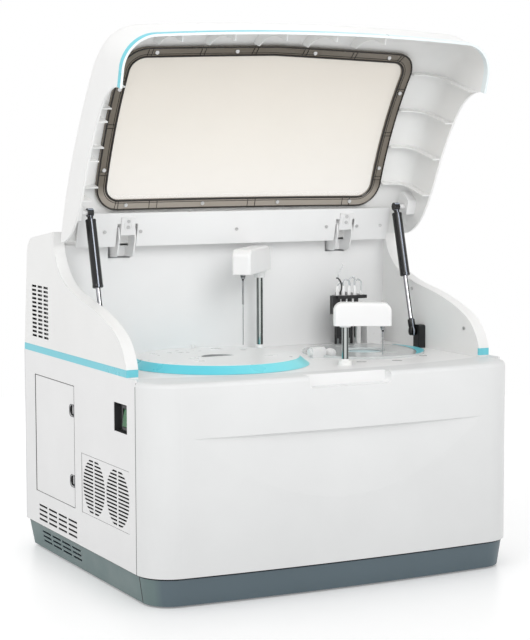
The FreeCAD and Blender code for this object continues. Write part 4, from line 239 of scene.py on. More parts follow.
WHITE = srgb(238, 238, 237)
PANEL = srgb(237, 237, 237)
CYAN = srgb(112, 206, 220)
MATERIALS = {
    "housing": surface("housing_plastic", WHITE, 0.42, grain=0.05, grain_scale=1100),
    "lid": surface("lid_plastic", WHITE, 0.38, grain=0.05, grain_scale=1100),
    "panel": surface("panel_paint", PANEL, 0.5, grain=0.10, grain_scale=700),
    "side": surface("side_panel_paint", PANEL, 0.5, grain=0.10, grain_scale=700, edge=0.3),
    "wing": surface("wing_plastic", WHITE, 0.42, grain=0.05, grain_scale=1100),
    # Painted shade: the front cover's white is the housing's, written a little darker so that its face to
    # the lamps does not burn out.
    "front": surface("front_cover_plastic", srgb(232, 233, 233), 0.40, grain=0.05, grain_scale=1100),
    "joint": surface("joint_shadow", srgb(64, 64, 65), 0.7, grain=0.1, edge=0),
    "deck": surface("deck_paint", srgb(236, 236, 236), 0.36, grain=0.06, grain_scale=800),
    "rear": surface("rear_paint", srgb(222, 223, 224), 0.5, grain=0.10, grain_scale=700),
    "skirt": surface("skirt_plastic", srgb(90, 106, 114), 0.45, grain=0.14, grain_scale=650, patches=0.03),
    "cyan": surface("stripe_cyan", CYAN, 0.3, grain=0.02),
    "trim": surface("trim_cyan", CYAN, 0.3, grain=0.02, edge=0),
    "disc": surface("disc_cyan", srgb(196, 218, 222), 0.4),
    "frame": surface("frame_paint", srgb(168, 170, 173), 0.5),
    "foot": surface("foot_rubber", srgb(46, 46, 47), 0.7, grain=0.2, grain_scale=500),
    "black": surface("black_plastic", srgb(18, 18, 20), 0.36, grain=0.12, grain_scale=800),
    "gap": surface("gap_shade_black", srgb(22, 22, 23), 0.6, grain=0.1, edge=0),
    "hinge": surface("hinge_paint", srgb(234, 234, 234), 0.34, grain=0.05, edge=0.4),
    "rocker": surface("rocker_plastic", srgb(16, 100, 48), 0.25, grain=0.02),
    "gasket": surface("gasket_rubber", srgb(112, 104, 93), 0.22, grain=0.05, grain_scale=500, patches=0.10),
    "bead": surface("gasket_bead", srgb(34, 29, 25), 0.25, grain=0.05, edge=0),
    "strut": surface("strut_paint", srgb(10, 10, 12), 0.12, grain=0.01, edge=0),
    "bowl": surface("bowl_plastic", srgb(176, 180, 184), 0.5),
    "carousel": surface("carousel_plastic", srgb(150, 188, 200), 0.45),
    "cover": surface("cover_plastic", srgb(96, 206, 222), 0.3, grain=0.02, edge=0.8),
    "arm": surface("arm_plastic", srgb(233, 233, 233), 0.22, grain=0.01, edge=0.8),
    "fitting": surface("fitting_plastic", srgb(234, 234, 234), 0.3, edge=0.5),
    "tray": surface("tray_plastic", srgb(92, 95, 99), 0.5, grain=0.12),
    "supply": surface("supply_case", srgb(168, 170, 173), 0.45),
    "board": surface("board_coat", srgb(28, 96, 56), 0.35, grain=0.1, grain_scale=300),
    "drive": surface("drive_cast", srgb(130, 132, 136), 0.45, grain=0.3, grain_scale=500),
    "steel": brushed("column_steel", (0.58, 0.61, 0.60, 1), 0.16, "z"),
    "probe": brushed("probe_steel", (0.34, 0.35, 0.36, 1), 0.25, "z"),
    "screw": brushed("screw_steel", (0.62, 0.62, 0.62, 1), 0.28, "x"),
    "rod": brushed("rod_steel", (0.60, 0.60, 0.62, 1), 0.12, "z"),
    "pane": clear("window_smoke", srgb(240, 233, 222), 0.4),
    "ring": clear("ring_clear", srgb(240, 243, 243), 0.72),
    "tube": clear("tube_clear", srgb(205, 210, 212), 0.5, 0.12),
}


# Second colours, where a mask is 1. Pairs of values are where a mask starts and where it is full.


def recolor(name, mask, color):
    """Lays a second colour over one of the materials."""
    made = Nodes(owner=MATERIALS[name])
    made.shade(Base_Color=made.mix(mask(made), made.base_color(), color))


def height_mask(low, high):
    return lambda made: made.step(made.position()[2], low, high)


def side_mask(low, high):
    return lambda made: made.step(made.position()[0], low, high)


def facing_mask(direction, low, high):
    return lambda made: made.step(made.facing(direction), low, high)


def box_mask(low, high, soft=0.0004):
    """1 inside a box of the row frame; None leaves a side open."""
    def mask(made):
        values = []
        for value, start, end in zip(made.position(), low, high):
            if start is not None:
                values.append(made.step(value, start - soft, start + soft))
            if end is not None:
                values.append(made.step(value, end + soft, end - soft))
        return made.combine("MULTIPLY", *values)
    return mask


# The reagent cover: painted light that makes it brighter to the right, a pale top, and painted shade that
# makes the finger recess grey

COVER_EDGE = 0.0002
COVER_RIGHT_LIGHT = (-0.20, 0.03)
COVER_CENTRE = (-0.120, -0.055)
COVER_RIM = 0.3705
COVER_TOP_RADIUS = 0.1385
RECESS_CENTRE = (-0.120, -0.060)
RECESS_RADIUS = 0.0310


def cover_top(made):
    height = made.position()[2]
    reach = made.distance(COVER_CENTRE)
    return made.combine("MAXIMUM", made.step(height, COVER_RIM, COVER_RIM + COVER_EDGE),
                        made.step(reach, COVER_TOP_RADIUS, COVER_TOP_RADIUS - COVER_EDGE))


# Painted shade: the finger recess's floor is grey.
def cover_recess_shade(made):
    height = made.position()[2]
    reach = made.distance(RECESS_CENTRE)
    return made.combine("MULTIPLY", made.step(height, COVER_RIM + COVER_EDGE, COVER_RIM),
                        made.step(reach, RECESS_RADIUS + COVER_EDGE, RECESS_RADIUS - COVER_EDGE))


# Painted light: the cover turns brighter towards the right.
recolor("cover", side_mask(*COVER_RIGHT_LIGHT), srgb(146, 234, 240))
recolor("cover", cover_top, srgb(230, 232, 232))
recolor("cover", cover_recess_shade, srgb(158, 160, 161))

# The lid: a stripe that is pale underneath, painted light that turns the stripe pale to the right, and
# painted light that makes the gasket pale at its foot

TRIM_UNDERSIDE = (0.72, 0.78)
TRIM_RIGHT_LIGHT = (-0.12, 0.22)
GASKET_FOOT_LIGHT = (0.660, 0.640)

recolor("trim", facing_mask(LID_UNDERSIDE, *TRIM_UNDERSIDE), srgb(240, 245, 246))
# Painted light: the stripe turns pale towards the right.
recolor("trim", side_mask(*TRIM_RIGHT_LIGHT), srgb(232, 240, 242))
# Painted light: the gasket is paler at its foot.
recolor("gasket", height_mask(*GASKET_FOOT_LIGHT), srgb(158, 150, 140))

# The housing: painted shade in the openings of the side walls and in the wing's vents, painted light on the
# skirt's left side and on the front cover's finger pull, and painted shade where the front cover's top edge
# rounds

SIDE_X = abs(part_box("left_side_panel")[0][0])
WALL_SKIN = 0.0008
WALL_EDGE = 0.0001
WALL_TOP = (0.3565, 0.3560)
VENT_DEPTH = 0.012
VENT_SHADE_LOW = (-SIDE_X + WALL_SKIN, 0.160, 0.385)
VENT_SHADE_HIGH = (-SIDE_X + VENT_DEPTH, 0.260, 0.490)
SKIRT_LEFT_LIGHT = (0.6, 0.8)
FRONT_ROUNDING_SHADE = (0.3520, 0.3585)
PULL_LIGHT_LOW = (-0.067, None, 0.340)
PULL_LIGHT_HIGH = (0.084, -0.262, None)
PULL_LIGHT_EDGE = 0.0008


def opening_shade(made):
    """Painted shade in the side walls' openings: 1 in the depth of the walls, a little way in from their
    outer faces.
    """
    x, _, z = made.position()
    depth = made.add("ShaderNodeMath", {0: x}, operation="ABSOLUTE")
    skin = SIDE_X - WALL_SKIN
    return made.combine("MULTIPLY", made.step(depth, skin + WALL_EDGE, skin - WALL_EDGE),
                        made.step(z, *WALL_TOP))


# Painted light: the skirt's left-facing side is lighter.
recolor("skirt", facing_mask((-1, 0, 0), *SKIRT_LEFT_LIGHT), srgb(104, 123, 123))
# Painted shade in the side walls' openings.
recolor("side", opening_shade, srgb(52, 53, 54))
# Painted shade in the depth of the left wing's vents.
recolor("wing", box_mask(VENT_SHADE_LOW, VENT_SHADE_HIGH), srgb(40, 41, 42))
# Painted shade where the front cover's top edge rounds.
recolor("front", height_mask(*FRONT_ROUNDING_SHADE), srgb(220, 221, 221))
# Painted highlight on the front cover's finger pull.
recolor("front", box_mask(PULL_LIGHT_LOW, PULL_LIGHT_HIGH, PULL_LIGHT_EDGE), srgb(240, 240, 240))

# The drives' white collars over the deck, and the black foot of each strut's rod

COLLAR_FOOT = (0.3572, 0.3574)
ROD_FOOT = (0.4125, 0.4115)

recolor("drive", height_mask(*COLLAR_FOOT), srgb(242, 242, 240))
recolor("rod", height_mask(*ROD_FOOT), srgb(16, 16, 18))

# Round bars: painted reflections, as bands of colour from the side that faces left in the view (-1) to the
# right (1); and a painted highlight down each strut

COLUMN_REFLECTIONS = [
    (-1.0, srgb(190, 192, 192)), (-0.78, srgb(235, 236, 236)), (-0.62, srgb(70, 72, 72)),
    (-0.40, srgb(96, 98, 98)), (-0.28, srgb(250, 250, 250)), (0.30, srgb(255, 255, 255)),
    (0.44, srgb(88, 90, 90)), (0.66, srgb(70, 72, 72)), (0.80, srgb(215, 216, 216)),
    (1.0, srgb(170, 172, 172)),
]
ROD_REFLECTIONS = [
    (-1.0, srgb(90, 92, 96)), (-0.45, srgb(240, 240, 244)), (0.25, srgb(255, 255, 255)),
    (0.55, srgb(60, 62, 66)), (1.0, srgb(150, 152, 156)),
]
GLEAM_START = (0.14, 0.20)
GLEAM_END = (0.38, 0.30)


def add_reflection_bands(name, bands):
    made = Nodes(owner=MATERIALS[name])
    ramp = made.add("ShaderNodeValToRGB", {"Fac": made.step(made.facing(ACROSS), -1, 1)})
    elements = ramp.color_ramp.elements
    while len(elements) < len(bands):
        elements.new(0.5)
    for element, (place, color) in zip(elements, bands):
        element.position = (place + 1) / 2
        element.color = color
    made.shade(Base_Color=made.mix(1.0, made.base_color(), ramp, "MULTIPLY"))


def strut_gleam(made):
    """A painted highlight: a bright line down each black strut."""
    return made.combine("MULTIPLY", facing_mask(ACROSS, *GLEAM_START)(made),
                        facing_mask(ACROSS, *GLEAM_END)(made))


add_reflection_bands("steel", COLUMN_REFLECTIONS)
add_reflection_bands("rod", ROD_REFLECTIONS)
recolor("strut", strut_gleam, srgb(176, 184, 200))

# The pane is more see-through towards its foot

PANE_FOOT = 0.640
PANE_TOP = 0.860
PANE_FOOT_ALPHA = 0.30
PANE_TOP_ALPHA = 0.62


def fade_pane():
    made = Nodes(owner=MATERIALS["pane"])
    height = made.position()[2]
    made.shade(Alpha=made.step(height, PANE_FOOT, PANE_TOP, PANE_FOOT_ALPHA, PANE_TOP_ALPHA))


fade_pane()

# The nodes that wear each material

NODE_MATERIALS = {
    "housing": "top_rear_cover",
    "front": "front_cover",
    "wing": "right_wing left_wing",
    "side": "right_side_panel left_side_panel side_door fan_grille_panel",
    "lid": "lid_shell",
    "panel": "lid_inner_bar",
    "rear": "rear_panel",
    "deck": "deck_panel back_wall",
    "skirt": "base_skirt",
    "cyan": "side_stripes",
    "trim": "lid_trim_stripe",
    "disc": "reaction_disc",
    "frame": "chassis_frame base_pan",
    "foot": "levelling_feet",
    "screw": "wing_screws lid_screws hinge_pins",
    "black": "fan_rotor_1 fan_rotor_2 fan_housings switch_bezel strut_lower_brackets wash_tower wash_head "
             "mains_inlet",
    "hinge": "hinge_brackets lid_hinge_plates strut_upper_brackets door_hinges",
    "rocker": "power_rocker",
    "pane": "window_pane",
    "gasket": "window_gasket",
    "strut": "right_strut_tube left_strut_tube",
    "rod": "right_strut_rod left_strut_rod",
    "bowl": "disc_bowls",
    "cover": "reagent_cover",
    "carousel": "reagent_carousel",
    "ring": "reaction_cover",
    "steel": "left_arm_column right_arm_column wash_needles",
    "probe": "left_probe right_probe",
    "arm": "left_arm_head right_arm_head",
    "drive": "drive_units syringe_pumps",
    "tube": "wash_tubes",
    "fitting": "deck_fittings",
    "tray": "fluid_port_tray",
    "supply": "power_supply",
    "board": "control_board",
}


def paint(obj, name):
    obj.data.materials.clear()
    obj.data.materials.append(MATERIALS[name])


for material_name, node_names in NODE_MATERIALS.items():
    for node_name in node_names.split():
        paint(nodes[node_name], material_name)


# Mesh helpers, in millimetres

SHARP_ANGLE = math.radians(38)
ARC_STEP = math.radians(9)
NEARLY_UPRIGHT = 0.9


def piece(name, shape, material, body, replaced=()):
    """Turns a bmesh in millimetres into a piece that rides on a body."""
    bmesh.ops.scale(shape, vec=(MM, MM, MM), verts=shape.verts)
    bmesh.ops.recalc_face_normals(shape, faces=shape.faces)
    mesh = bpy.data.meshes.new(name)
    shape.to_mesh(mesh)
    shape.free()
    for polygon in mesh.polygons:
        polygon.use_smooth = True
    mesh.set_sharp_from_angle(angle=SHARP_ANGLE)
    mesh.materials.append(MATERIALS[material])
    made = bpy.data.objects.new(name, mesh)
    bpy.context.scene.collection.objects.link(made)
    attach(made, body)
    if replaced:
        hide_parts(*replaced)


def add_rings(shape, rings, closed=False):
    """Joins rings of equally many points with quads, in a loop if closed, else with both ends filled."""
    rows = [[shape.verts.new(spot) for spot in ring] for ring in rings]
    pairs = list(zip(rows, rows[1:])) + ([(rows[-1], rows[0])] if closed else [])
    for first, second in pairs:
        count = len(first)
        for index in range(count):
            after = (index + 1) % count
            shape.faces.new((first[index], first[after], second[after], second[index]))
    if not closed:
        shape.faces.new(list(reversed(rows[0])))
        shape.faces.new(rows[-1])


def frame_of(direction):
    """Two unit vectors square to a unit direction and to each other."""
    helper = UP if abs(direction.z) < NEARLY_UPRIGHT else Vector((1, 0, 0))
    first = direction.cross(helper).normalized()
    return first, direction.cross(first)


def circle(centre, first, second, radius, segments):
    turns = (math.tau * index / segments for index in range(segments))
    return [centre + (first * math.cos(turn) + second * math.sin(turn)) * radius for turn in turns]


def add_turned(shape, origin, direction, profile, segments=40):
    """A turned form: (radius, height) pairs along a direction."""
    origin = Vector(origin)
    direction = Vector(direction).normalized()
    first, second = frame_of(direction)
    add_rings(shape, [circle(origin + direction * height, first, second, radius, segments)
                      for radius, height in profile])


def add_tube(shape, path, radius, segments=8, closed=False):
    """A round bar along a path of points."""
    count = len(path)
    rings = []
    first = None
    for index, spot in enumerate(path):
        if closed:
            ahead, behind = path[(index + 1) % count], path[index - 1]
        else:
            ahead, behind = path[min(index + 1, count - 1)], path[max(index - 1, 0)]
        along = (ahead - behind).normalized()
        first = frame_of(along)[0] if first is None else (first - along * first.dot(along)).normalized()
        rings.append(circle(spot, first, along.cross(first), radius, segments))
    add_rings(shape, rings, closed)


def add_block(shape, low, high):
    """A block between two corners."""
    low, high = Vector(low), Vector(high)
    place = Matrix.Translation((low + high) / 2) @ Matrix.Diagonal((*(high - low), 1))
    bmesh.ops.create_cube(shape, size=1.0, matrix=place)


def add_plate(shape, outline, low, high, place):
    """A plate with a 2-D outline; place turns (u, v, height) into a point."""
    add_rings(shape, [[place(u, v, height) for u, v in outline] for height in (low, high)])


def rounded(corners):
    """An outline with round corners from (x, y, radius) corners, in order."""
    outline = []
    count = len(corners)
    for index, (x, y, radius) in enumerate(corners):
        here = Vector((x, y))
        before = Vector(corners[index - 1][:2]) - here
        after = Vector(corners[(index + 1) % count][:2]) - here
        if not radius:
            outline.append(tuple(here))
            continue
        half = before.angle(after) / 2
        inward = (before.normalized() + after.normalized()).normalized()
        centre = here + inward * radius / math.sin(half)
        start = here + before.normalized() * radius / math.tan(half) - centre
        end = here + after.normalized() * radius / math.tan(half) - centre
        sweep = start.angle_signed(end)
        steps = max(2, round(abs(sweep) / ARC_STEP))
        for part in range(steps + 1):
            turn = -sweep * part / steps
            outline.append(tuple(centre + Matrix.Rotation(turn, 2) @ start))
    return outline


def rounded_box(low, high, radii):
    """A rectangle's outline; the radii go round it from the low corner."""
    corners = (low[0], low[1]), (high[0], low[1]), (high[0], high[1]), (low[0], high[1])
    return rounded([(*corner, radius) for corner, radius in zip(corners, radii)])


def half_turn(steps):
    """Angles from 0 to half a turn."""
    return [math.pi * index / steps for index in range(steps + 1)]


# Joints between the panels, as dark lines

SEAM_HALF = 0.8
SEAM_TOP = 350.0
JOINT_RAISED = 0.12
JOINT_SUNK = 0.2
SKIRT_SEAM_HALF = 0.7
SKIRT_SEAM_RAISED = 0.25
SKIRT_SEAM_SUNK = 0.4
SKIRT_TAPER = 6.3
SKIRT_SEAM_FOOT = 1.0
SKIRT_SEAM_TOP = 0.5
DOOR_GAPS = {"front": 1.5, "rear": 3.0, "bottom": 0.75, "top": 0.75}
DOOR_HALVES = {"rear": 0.8, "top": 0.6, "bottom": 0.35, "front": 0.4}
GRILLE_GAPS = {"front": 0.3, "rear": 0.3, "bottom": 0.3, "top": 0.3}
GRILLE_HALVES = {"rear": 0.7, "top": 0.25, "bottom": 0.2}


def panel_edges(node, gaps, halves):
    """The lines round a panel of the left side: start and end in y and z, and half the width."""
    low, high = box_mm(node)
    front, rear = low.y - gaps["front"], high.y + gaps["rear"]
    bottom, top = low.z - gaps["bottom"], high.z + gaps["top"]
    edges = {
        "front": ((front, bottom), (front, top)),
        "rear": ((rear, bottom), (rear, top)),
        "bottom": ((front, bottom), (rear, bottom)),
        "top": ((front, top), (rear, top)),
    }
    return [(*edges[name], half) for name, half in halves.items()]


def make_panel_joints():
    """Lines along the seams of the sides and the skirt, and round the door and the grille."""
    shape = bmesh.new()
    wall = box_mm("left_side_panel")[0]
    side, seam_y, seam_foot = -wall.x, wall.y, wall.z
    lines = [((seam_y, seam_foot), (seam_y, SEAM_TOP), SEAM_HALF)]
    lines += panel_edges("side_door", DOOR_GAPS, DOOR_HALVES)
    lines += panel_edges("fan_grille_panel", GRILLE_GAPS, GRILLE_HALVES)
    for (y_low, z_low), (y_high, z_high), half in lines:
        add_block(shape, (-side - JOINT_RAISED, y_low - half, z_low - half),
                  (-side + JOINT_SUNK, y_high + half, z_high + half))
    add_block(shape, (side - JOINT_SUNK, seam_y - SEAM_HALF, seam_foot),
              (side + JOINT_RAISED, seam_y + SEAM_HALF, SEAM_TOP))
    low, high = box_mm("base_skirt")
    ends = (high.x - SKIRT_TAPER, low.z + SKIRT_SEAM_FOOT), (high.x, high.z - SKIRT_SEAM_TOP)
    section = [(-SKIRT_SEAM_SUNK, -SKIRT_SEAM_HALF), (SKIRT_SEAM_RAISED, -SKIRT_SEAM_HALF),
               (SKIRT_SEAM_RAISED, SKIRT_SEAM_HALF), (-SKIRT_SEAM_SUNK, SKIRT_SEAM_HALF)]
    for sign in (-1, 1):
        add_rings(shape, [[Vector((sign * (x + out), seam_y + along, z)) for out, along in section]
                          for x, z in ends])
    piece("panel_joints", shape, "joint", "housing")


# The dark recess between the covers and the skirt, with a black sheet in it as painted shade

GAP_DEPTH = 7.0
GAP_OVERLAP = 1.3
GAP_BOW = 9.0
GAP_SHOULDER_X = 145.0
GAP_SHOULDER_SHARE = 0.75
GAP_FRONT_RADIUS = 50.0
GAP_REAR_RADIUS = 2.0
GAP_REAR_MARGIN = 3.0
GAP_INNER_SHARE = 0.992
FRONT_BOW = 10.0


def make_shadow_gap():
    shape = bmesh.new()
    cover = box_mm("front_cover")[0]
    side = SIDE_X / MM - GAP_DEPTH
    front = cover.y + FRONT_BOW + GAP_DEPTH
    rear = box_mm("left_side_panel")[1].y - GAP_REAR_MARGIN
    low = box_mm("base_skirt")[1].z - GAP_OVERLAP
    high = cover.z + GAP_OVERLAP
    shoulder = front - GAP_SHOULDER_SHARE * GAP_BOW
    outer = rounded([(-side, rear, GAP_REAR_RADIUS), (-side, front, GAP_FRONT_RADIUS),
                     (-GAP_SHOULDER_X, shoulder, 0), (0, front - GAP_BOW, 0), (GAP_SHOULDER_X, shoulder, 0),
                     (side, front, GAP_FRONT_RADIUS), (side, rear, GAP_REAR_RADIUS)])
    inner = [(x * GAP_INNER_SHARE, y * GAP_INNER_SHARE) for x, y in outer]
    levels = (outer, low), (outer, high), (inner, high), (inner, low)
    add_rings(shape, [[(x, y, z) for x, y in line] for line, z in levels], closed=True)
    piece("skirt_shadow_gap", shape, "gap", "housing")


# Wash station: sleeves on its needles, clear arching tubes, ferrules above the plate

SLEEVE_FOOT = 376.0
SLEEVE_MARGIN = 1.5
SLEEVE_RADII = (5.0, 5.0, 2.4, 2.4)
SLEEVE_SHARES = ((0.5, 0), (0.85, 1.5), (1, 5.0), (1, 26.0), (0.8, 27.0))


def make_needle_sleeves():
    """A sleeve round each needle; its profile is shares of the radius, with heights."""
    shape = bmesh.new()
    low, high = box_mm("wash_needles")
    start, end = low.x + SLEEVE_MARGIN, high.x - SLEEVE_MARGIN
    spacing = (end - start) / (len(SLEEVE_RADII) - 1)
    for index, radius in enumerate(SLEEVE_RADII):
        foot = (start + spacing * index, (low.y + high.y) / 2, SLEEVE_FOOT)
        profile = [(radius * share, height) for share, height in SLEEVE_SHARES]
        add_turned(shape, foot, UP, profile, segments=24)
    piece("wash_needle_sleeves", shape, "black", "washer")


PLATE_TOP = box_mm("wash_head")[1].z
NOZZLES = ((181, 57, 16, 0.5), (192, 55, 22, -0.4), (203, 53, 26, 0.6), (214, 51, 22, -0.3))
NOZZLE_SHIFT = 3.0
ARCH_WIDTH = 13.0
ARCH_RADIUS = 1.5
ARCH_LEAN = (3.0, 2.0)
ARCH_STEPS = 24
FERRULE_SINK = 0.3
TALL_FERRULE = [(2.4, 0), (3.4, 0.3), (3.4, 12), (2.9, 13), (2.9, 17), (1.9, 18)]
LOW_FERRULE = [(2.0, 0), (2.6, 0.3), (2.6, 8), (1.9, 9)]
DRAIN_FOOT = (176, 58)
DRAIN_BULGE = (9, -4)
DRAIN_RISE = 32
DRAIN_RADIUS = 1.3
DRAIN_STEPS = 18
WHIP_PLACE = (186, 60)
WHIP_SWAY = 5
WHIP_TURNS = 1.4
WHIP_FOOT = 22
WHIP_LENGTH = 34
WHIP_RADIUS = 1.0
WHIP_STEPS = 16


def arch(x, y, rise, lean):
    """The path of a thin tube that rises, arches over and comes down again."""
    half = ARCH_WIDTH / 2
    path = [Vector((x, y, PLATE_TOP)), Vector((x, y, PLATE_TOP + rise / 2))]
    for turn in half_turn(ARCH_STEPS):
        aside = half * (1 - math.cos(turn)) + lean * math.sin(turn) * ARCH_LEAN[0]
        back = lean * (1 - math.cos(turn)) * ARCH_LEAN[1]
        path.append(Vector((x + aside, y + back, PLATE_TOP + rise + half * math.sin(turn))))
    far = path[-1]
    return path + [Vector((far.x, far.y, PLATE_TOP + rise / 2)), Vector((far.x, far.y, PLATE_TOP))]


def drain_point(turn):
    """A point of the drain tube, which bulges aside halfway up."""
    bulge = math.sin(turn)
    return Vector((DRAIN_FOOT[0] + DRAIN_BULGE[0] * bulge, DRAIN_FOOT[1] + DRAIN_BULGE[1] * bulge,
                   PLATE_TOP + DRAIN_RISE * (1 - math.cos(turn)) / 2))


def whip_point(turn):
    """A point of the loose tube end, which sways as it rises."""
    sway = WHIP_SWAY * math.sin(turn * WHIP_TURNS)
    return Vector((WHIP_PLACE[0] - sway, WHIP_PLACE[1],
                   PLATE_TOP + WHIP_FOOT + WHIP_LENGTH * turn / math.pi))


def make_wash_details():
    """Each nozzle is given as x, y, and the rise and lean of its arch."""
    tubes = bmesh.new()
    ferrules = bmesh.new()
    drain = bmesh.new()
    foot = PLATE_TOP - FERRULE_SINK
    for x, y, rise, lean in NOZZLES:
        near = x - NOZZLE_SHIFT
        add_tube(tubes, arch(near, y, rise, lean), ARCH_RADIUS)
        add_turned(ferrules, (near, y, foot), UP, TALL_FERRULE, segments=20)
        add_turned(ferrules, (near + ARCH_WIDTH, y, foot), UP, LOW_FERRULE, segments=20)
    add_tube(drain, [drain_point(turn) for turn in half_turn(DRAIN_STEPS)], DRAIN_RADIUS)
    add_tube(tubes, [whip_point(turn) for turn in half_turn(WHIP_STEPS)], WHIP_RADIUS)
    piece("wash_tube_arches", tubes, "tube", "washer", ("wash_tubes",))
    piece("wash_tube_ferrules", ferrules, "fitting", "washer")
    piece("wash_drain_tube", drain, "black", "washer")


# The window's seal: beads along both edges and ties between them

WINDOW_HALF = box_mm("window_gasket")[1].x
WINDOW_REAR = 77.0
WINDOW_FRONT = -236.0
WINDOW_BOW = 9.0
WINDOW_RADIUS = 45.0
LONG_EDGE = 15.0
LONG_EDGE_PARTS = 32
SEAL_SINK = 0.2
SEAL_BEADS = ((1.6, 1.5), (18.0, 1.9), (13.6, 0.5))
TIE_INSETS = (3.0, 17.0)
TIE_RADIUS = 0.6
TIE_EVERY = 13
LONGEST_TIE = 30.0
UNDER_LID = 362.0


def window_outline(inset):
    """The window's outline in the shut lid, drawn in by an inset, in short steps."""
    half = WINDOW_HALF - inset
    radius = WINDOW_RADIUS - inset
    rear = WINDOW_REAR - inset
    front = WINDOW_FRONT + inset
    coarse = rounded([(-half, rear, radius), (-half, front + WINDOW_BOW, radius), (0, front, 0),
                      (half, front + WINDOW_BOW, radius), (half, rear, radius)])
    fine = []
    for start, end in zip(coarse, coarse[1:] + coarse[:1]):
        parts = 1 if math.dist(start, end) < LONG_EDGE else LONG_EDGE_PARTS
        for part in range(parts):
            fine.append(tuple(Vector(start).lerp(Vector(end), part / parts)))
    return fine


def shut_tree(node):
    """The node's surface in the shut lid's place, for rays."""
    mesh = nodes[node].data
    spots = [LID_SHUT @ (vert.co / MM) for vert in mesh.vertices]
    return BVHTree.FromPolygons(spots, [tuple(polygon.vertices) for polygon in mesh.polygons])


def seal_point(tree, x, y):
    """A point just under the seal's surface, at rest, or None beside the seal."""
    hit = tree.ray_cast(Vector((x, y, UNDER_LID)), UP)[0]
    return opened(x, y, hit.z - SEAL_SINK) if hit else None


def make_seal_beads():
    """Beads, each given as an inset and a radius, and short ties across the seal."""
    tree = shut_tree("window_gasket")
    shape = bmesh.new()
    for inset, radius in SEAL_BEADS:
        path = [seal_point(tree, x, y) for x, y in window_outline(inset)]
        add_tube(shape, [spot for spot in path if spot], radius, closed=True)
    outer, inner = [window_outline(inset) for inset in TIE_INSETS]
    for index in range(0, len(outer), TIE_EVERY):
        for shift in (0, 1):
            first = outer[(index + shift) % len(outer)]
            second = inner[(index + shift) % len(inner)]
            if math.dist(first, second) > LONGEST_TIE:
                continue
            ends = [seal_point(tree, x, y) for x, y in (first, second)]
            if all(ends):
                add_tube(shape, ends, TIE_RADIUS, segments=6)
    piece("seal_beads", shape, "bead", "lid")


# Hinges: an embossed ring round the two screws of each plate, in the shut lid's place

HINGE_X = 219.0
HINGE_PLATE_UNDER = 558.9
RING_HALF = 6.5
RING_FRONT = 89.5
RING_REAR = 110.5
RING_CORNER = 6.4
RING_RADIUS = 0.6


def make_hinge_rings():
    shape = bmesh.new()
    for centre in (-HINGE_X, HINGE_X):
        outline = rounded_box((centre - RING_HALF, RING_FRONT), (centre + RING_HALF, RING_REAR),
                              [RING_CORNER] * 4)
        add_tube(shape, [opened(x, y, HINGE_PLATE_UNDER) for x, y in outline], RING_RADIUS, closed=True)
    piece("hinge_plate_rings", shape, "hinge", "lid")


# Struts: ball joints, gland rings, brackets and studs. The head is given in the shut lid.

STRUT_SETBACK = 40.0
STRUT_X = SIDE_X / MM - STRUT_SETBACK
STRUT_FOOT = (0, 388)
STRUT_HEAD = (68, 532)
GLAND_AT = 104.2
TUBE_END_AT = 219.5
BALL_PROFILE = [
    (0.5, -8.2), (4.5, -7.2), (7.2, -4.2), (8.2, 0), (7.4, 4.0), (6.3, 7.0), (6.3, 9.0), (6.6, 10.0),
    (6.6, 21.0), (6.1, 22.2), (5.4, 22.6), (4.4, 23.2), (4.2, 23.2),
]
GLAND_PROFILE = [(4.3, 0), (7.6, 0), (9.0, 1.2), (9.35, 1.6), (9.35, 4.6), (9.05, 5.2), (9.05, 6.0)]
TUBE_END_PROFILE = [(9.05, 0), (9.3, 0.4), (9.2, 2.6), (7.4, 4.0), (5.4, 4.4), (5.3, 4.6)]
BRACKET_THICKNESS = 13.0
BRACKET_CORNER = 4.5
FACE_INSET = 2.0
FACE_RAISED = 0.7
FACE_CORNER = 3.4
STUD_TIP_X = 298.6
STUD_PROFILE = [
    (0.5, 0), (3.4, 0.1), (3.9, 0.8), (3.9, 8.2), (5.6, 8.4), (5.6, 10.6), (7.4, 10.8), (7.4, 13.0),
]


def make_strut_details():
    for side, sign in (("left", -1), ("right", 1)):
        foot = Vector((sign * STRUT_X, *STRUT_FOOT))
        along = (opened(sign * STRUT_X, *STRUT_HEAD) - foot).normalized()
        ball = bmesh.new()
        add_turned(ball, foot, along, BALL_PROFILE)
        piece(side + "_strut_ball", ball, "strut", side + "_rod")
        rings = bmesh.new()
        add_turned(rings, foot + along * GLAND_AT, along, GLAND_PROFILE)
        add_turned(rings, foot + along * TUBE_END_AT, along, TUBE_END_PROFILE)
        piece(side + "_strut_rings", rings, "strut", side + "_tube")


def make_strut_brackets():
    """Blocks with a raised inner face and a stud, in the plain brackets' place."""
    shape = bmesh.new()
    low, high = box_mm("strut_lower_brackets")
    inner = high.x - BRACKET_THICKNESS
    inset = Vector((FACE_INSET, FACE_INSET))
    block = rounded_box(low.yz, high.yz, (0, 0, BRACKET_CORNER, BRACKET_CORNER))
    face = rounded_box(low.yz + inset, high.yz - inset, (0, 0, FACE_CORNER, FACE_CORNER))
    for sign in (-1, 1):
        for outline, start, end in ((block, inner, high.x), (face, inner - FACE_RAISED, inner)):
            add_plate(shape, outline, start, end, lambda y, z, x: Vector((sign * x, y, z)))
        add_turned(shape, (sign * STUD_TIP_X, *STRUT_FOOT), (sign, 0, 0), STUD_PROFILE, segments=28)
    piece("strut_bracket_blocks", shape, "black", "housing", ("strut_lower_brackets",))


# Deck: slots as dark strips of painted shade, the reaction ring's coloured crescent, collars round the
# arms' columns

DECK_TOP = box_mm("deck_panel")[1].z
SLOT_LOW = 0.02
SLOT_HIGH = 0.25
SLOTS = (
    ((102, -145), (117, -153), 1.3),
    ((167, -156), (180, -167), 1.3),
    ((267.5, 75), (297, 65), 0.7),
    ((246, -118), (258, -124), 1.6),
)


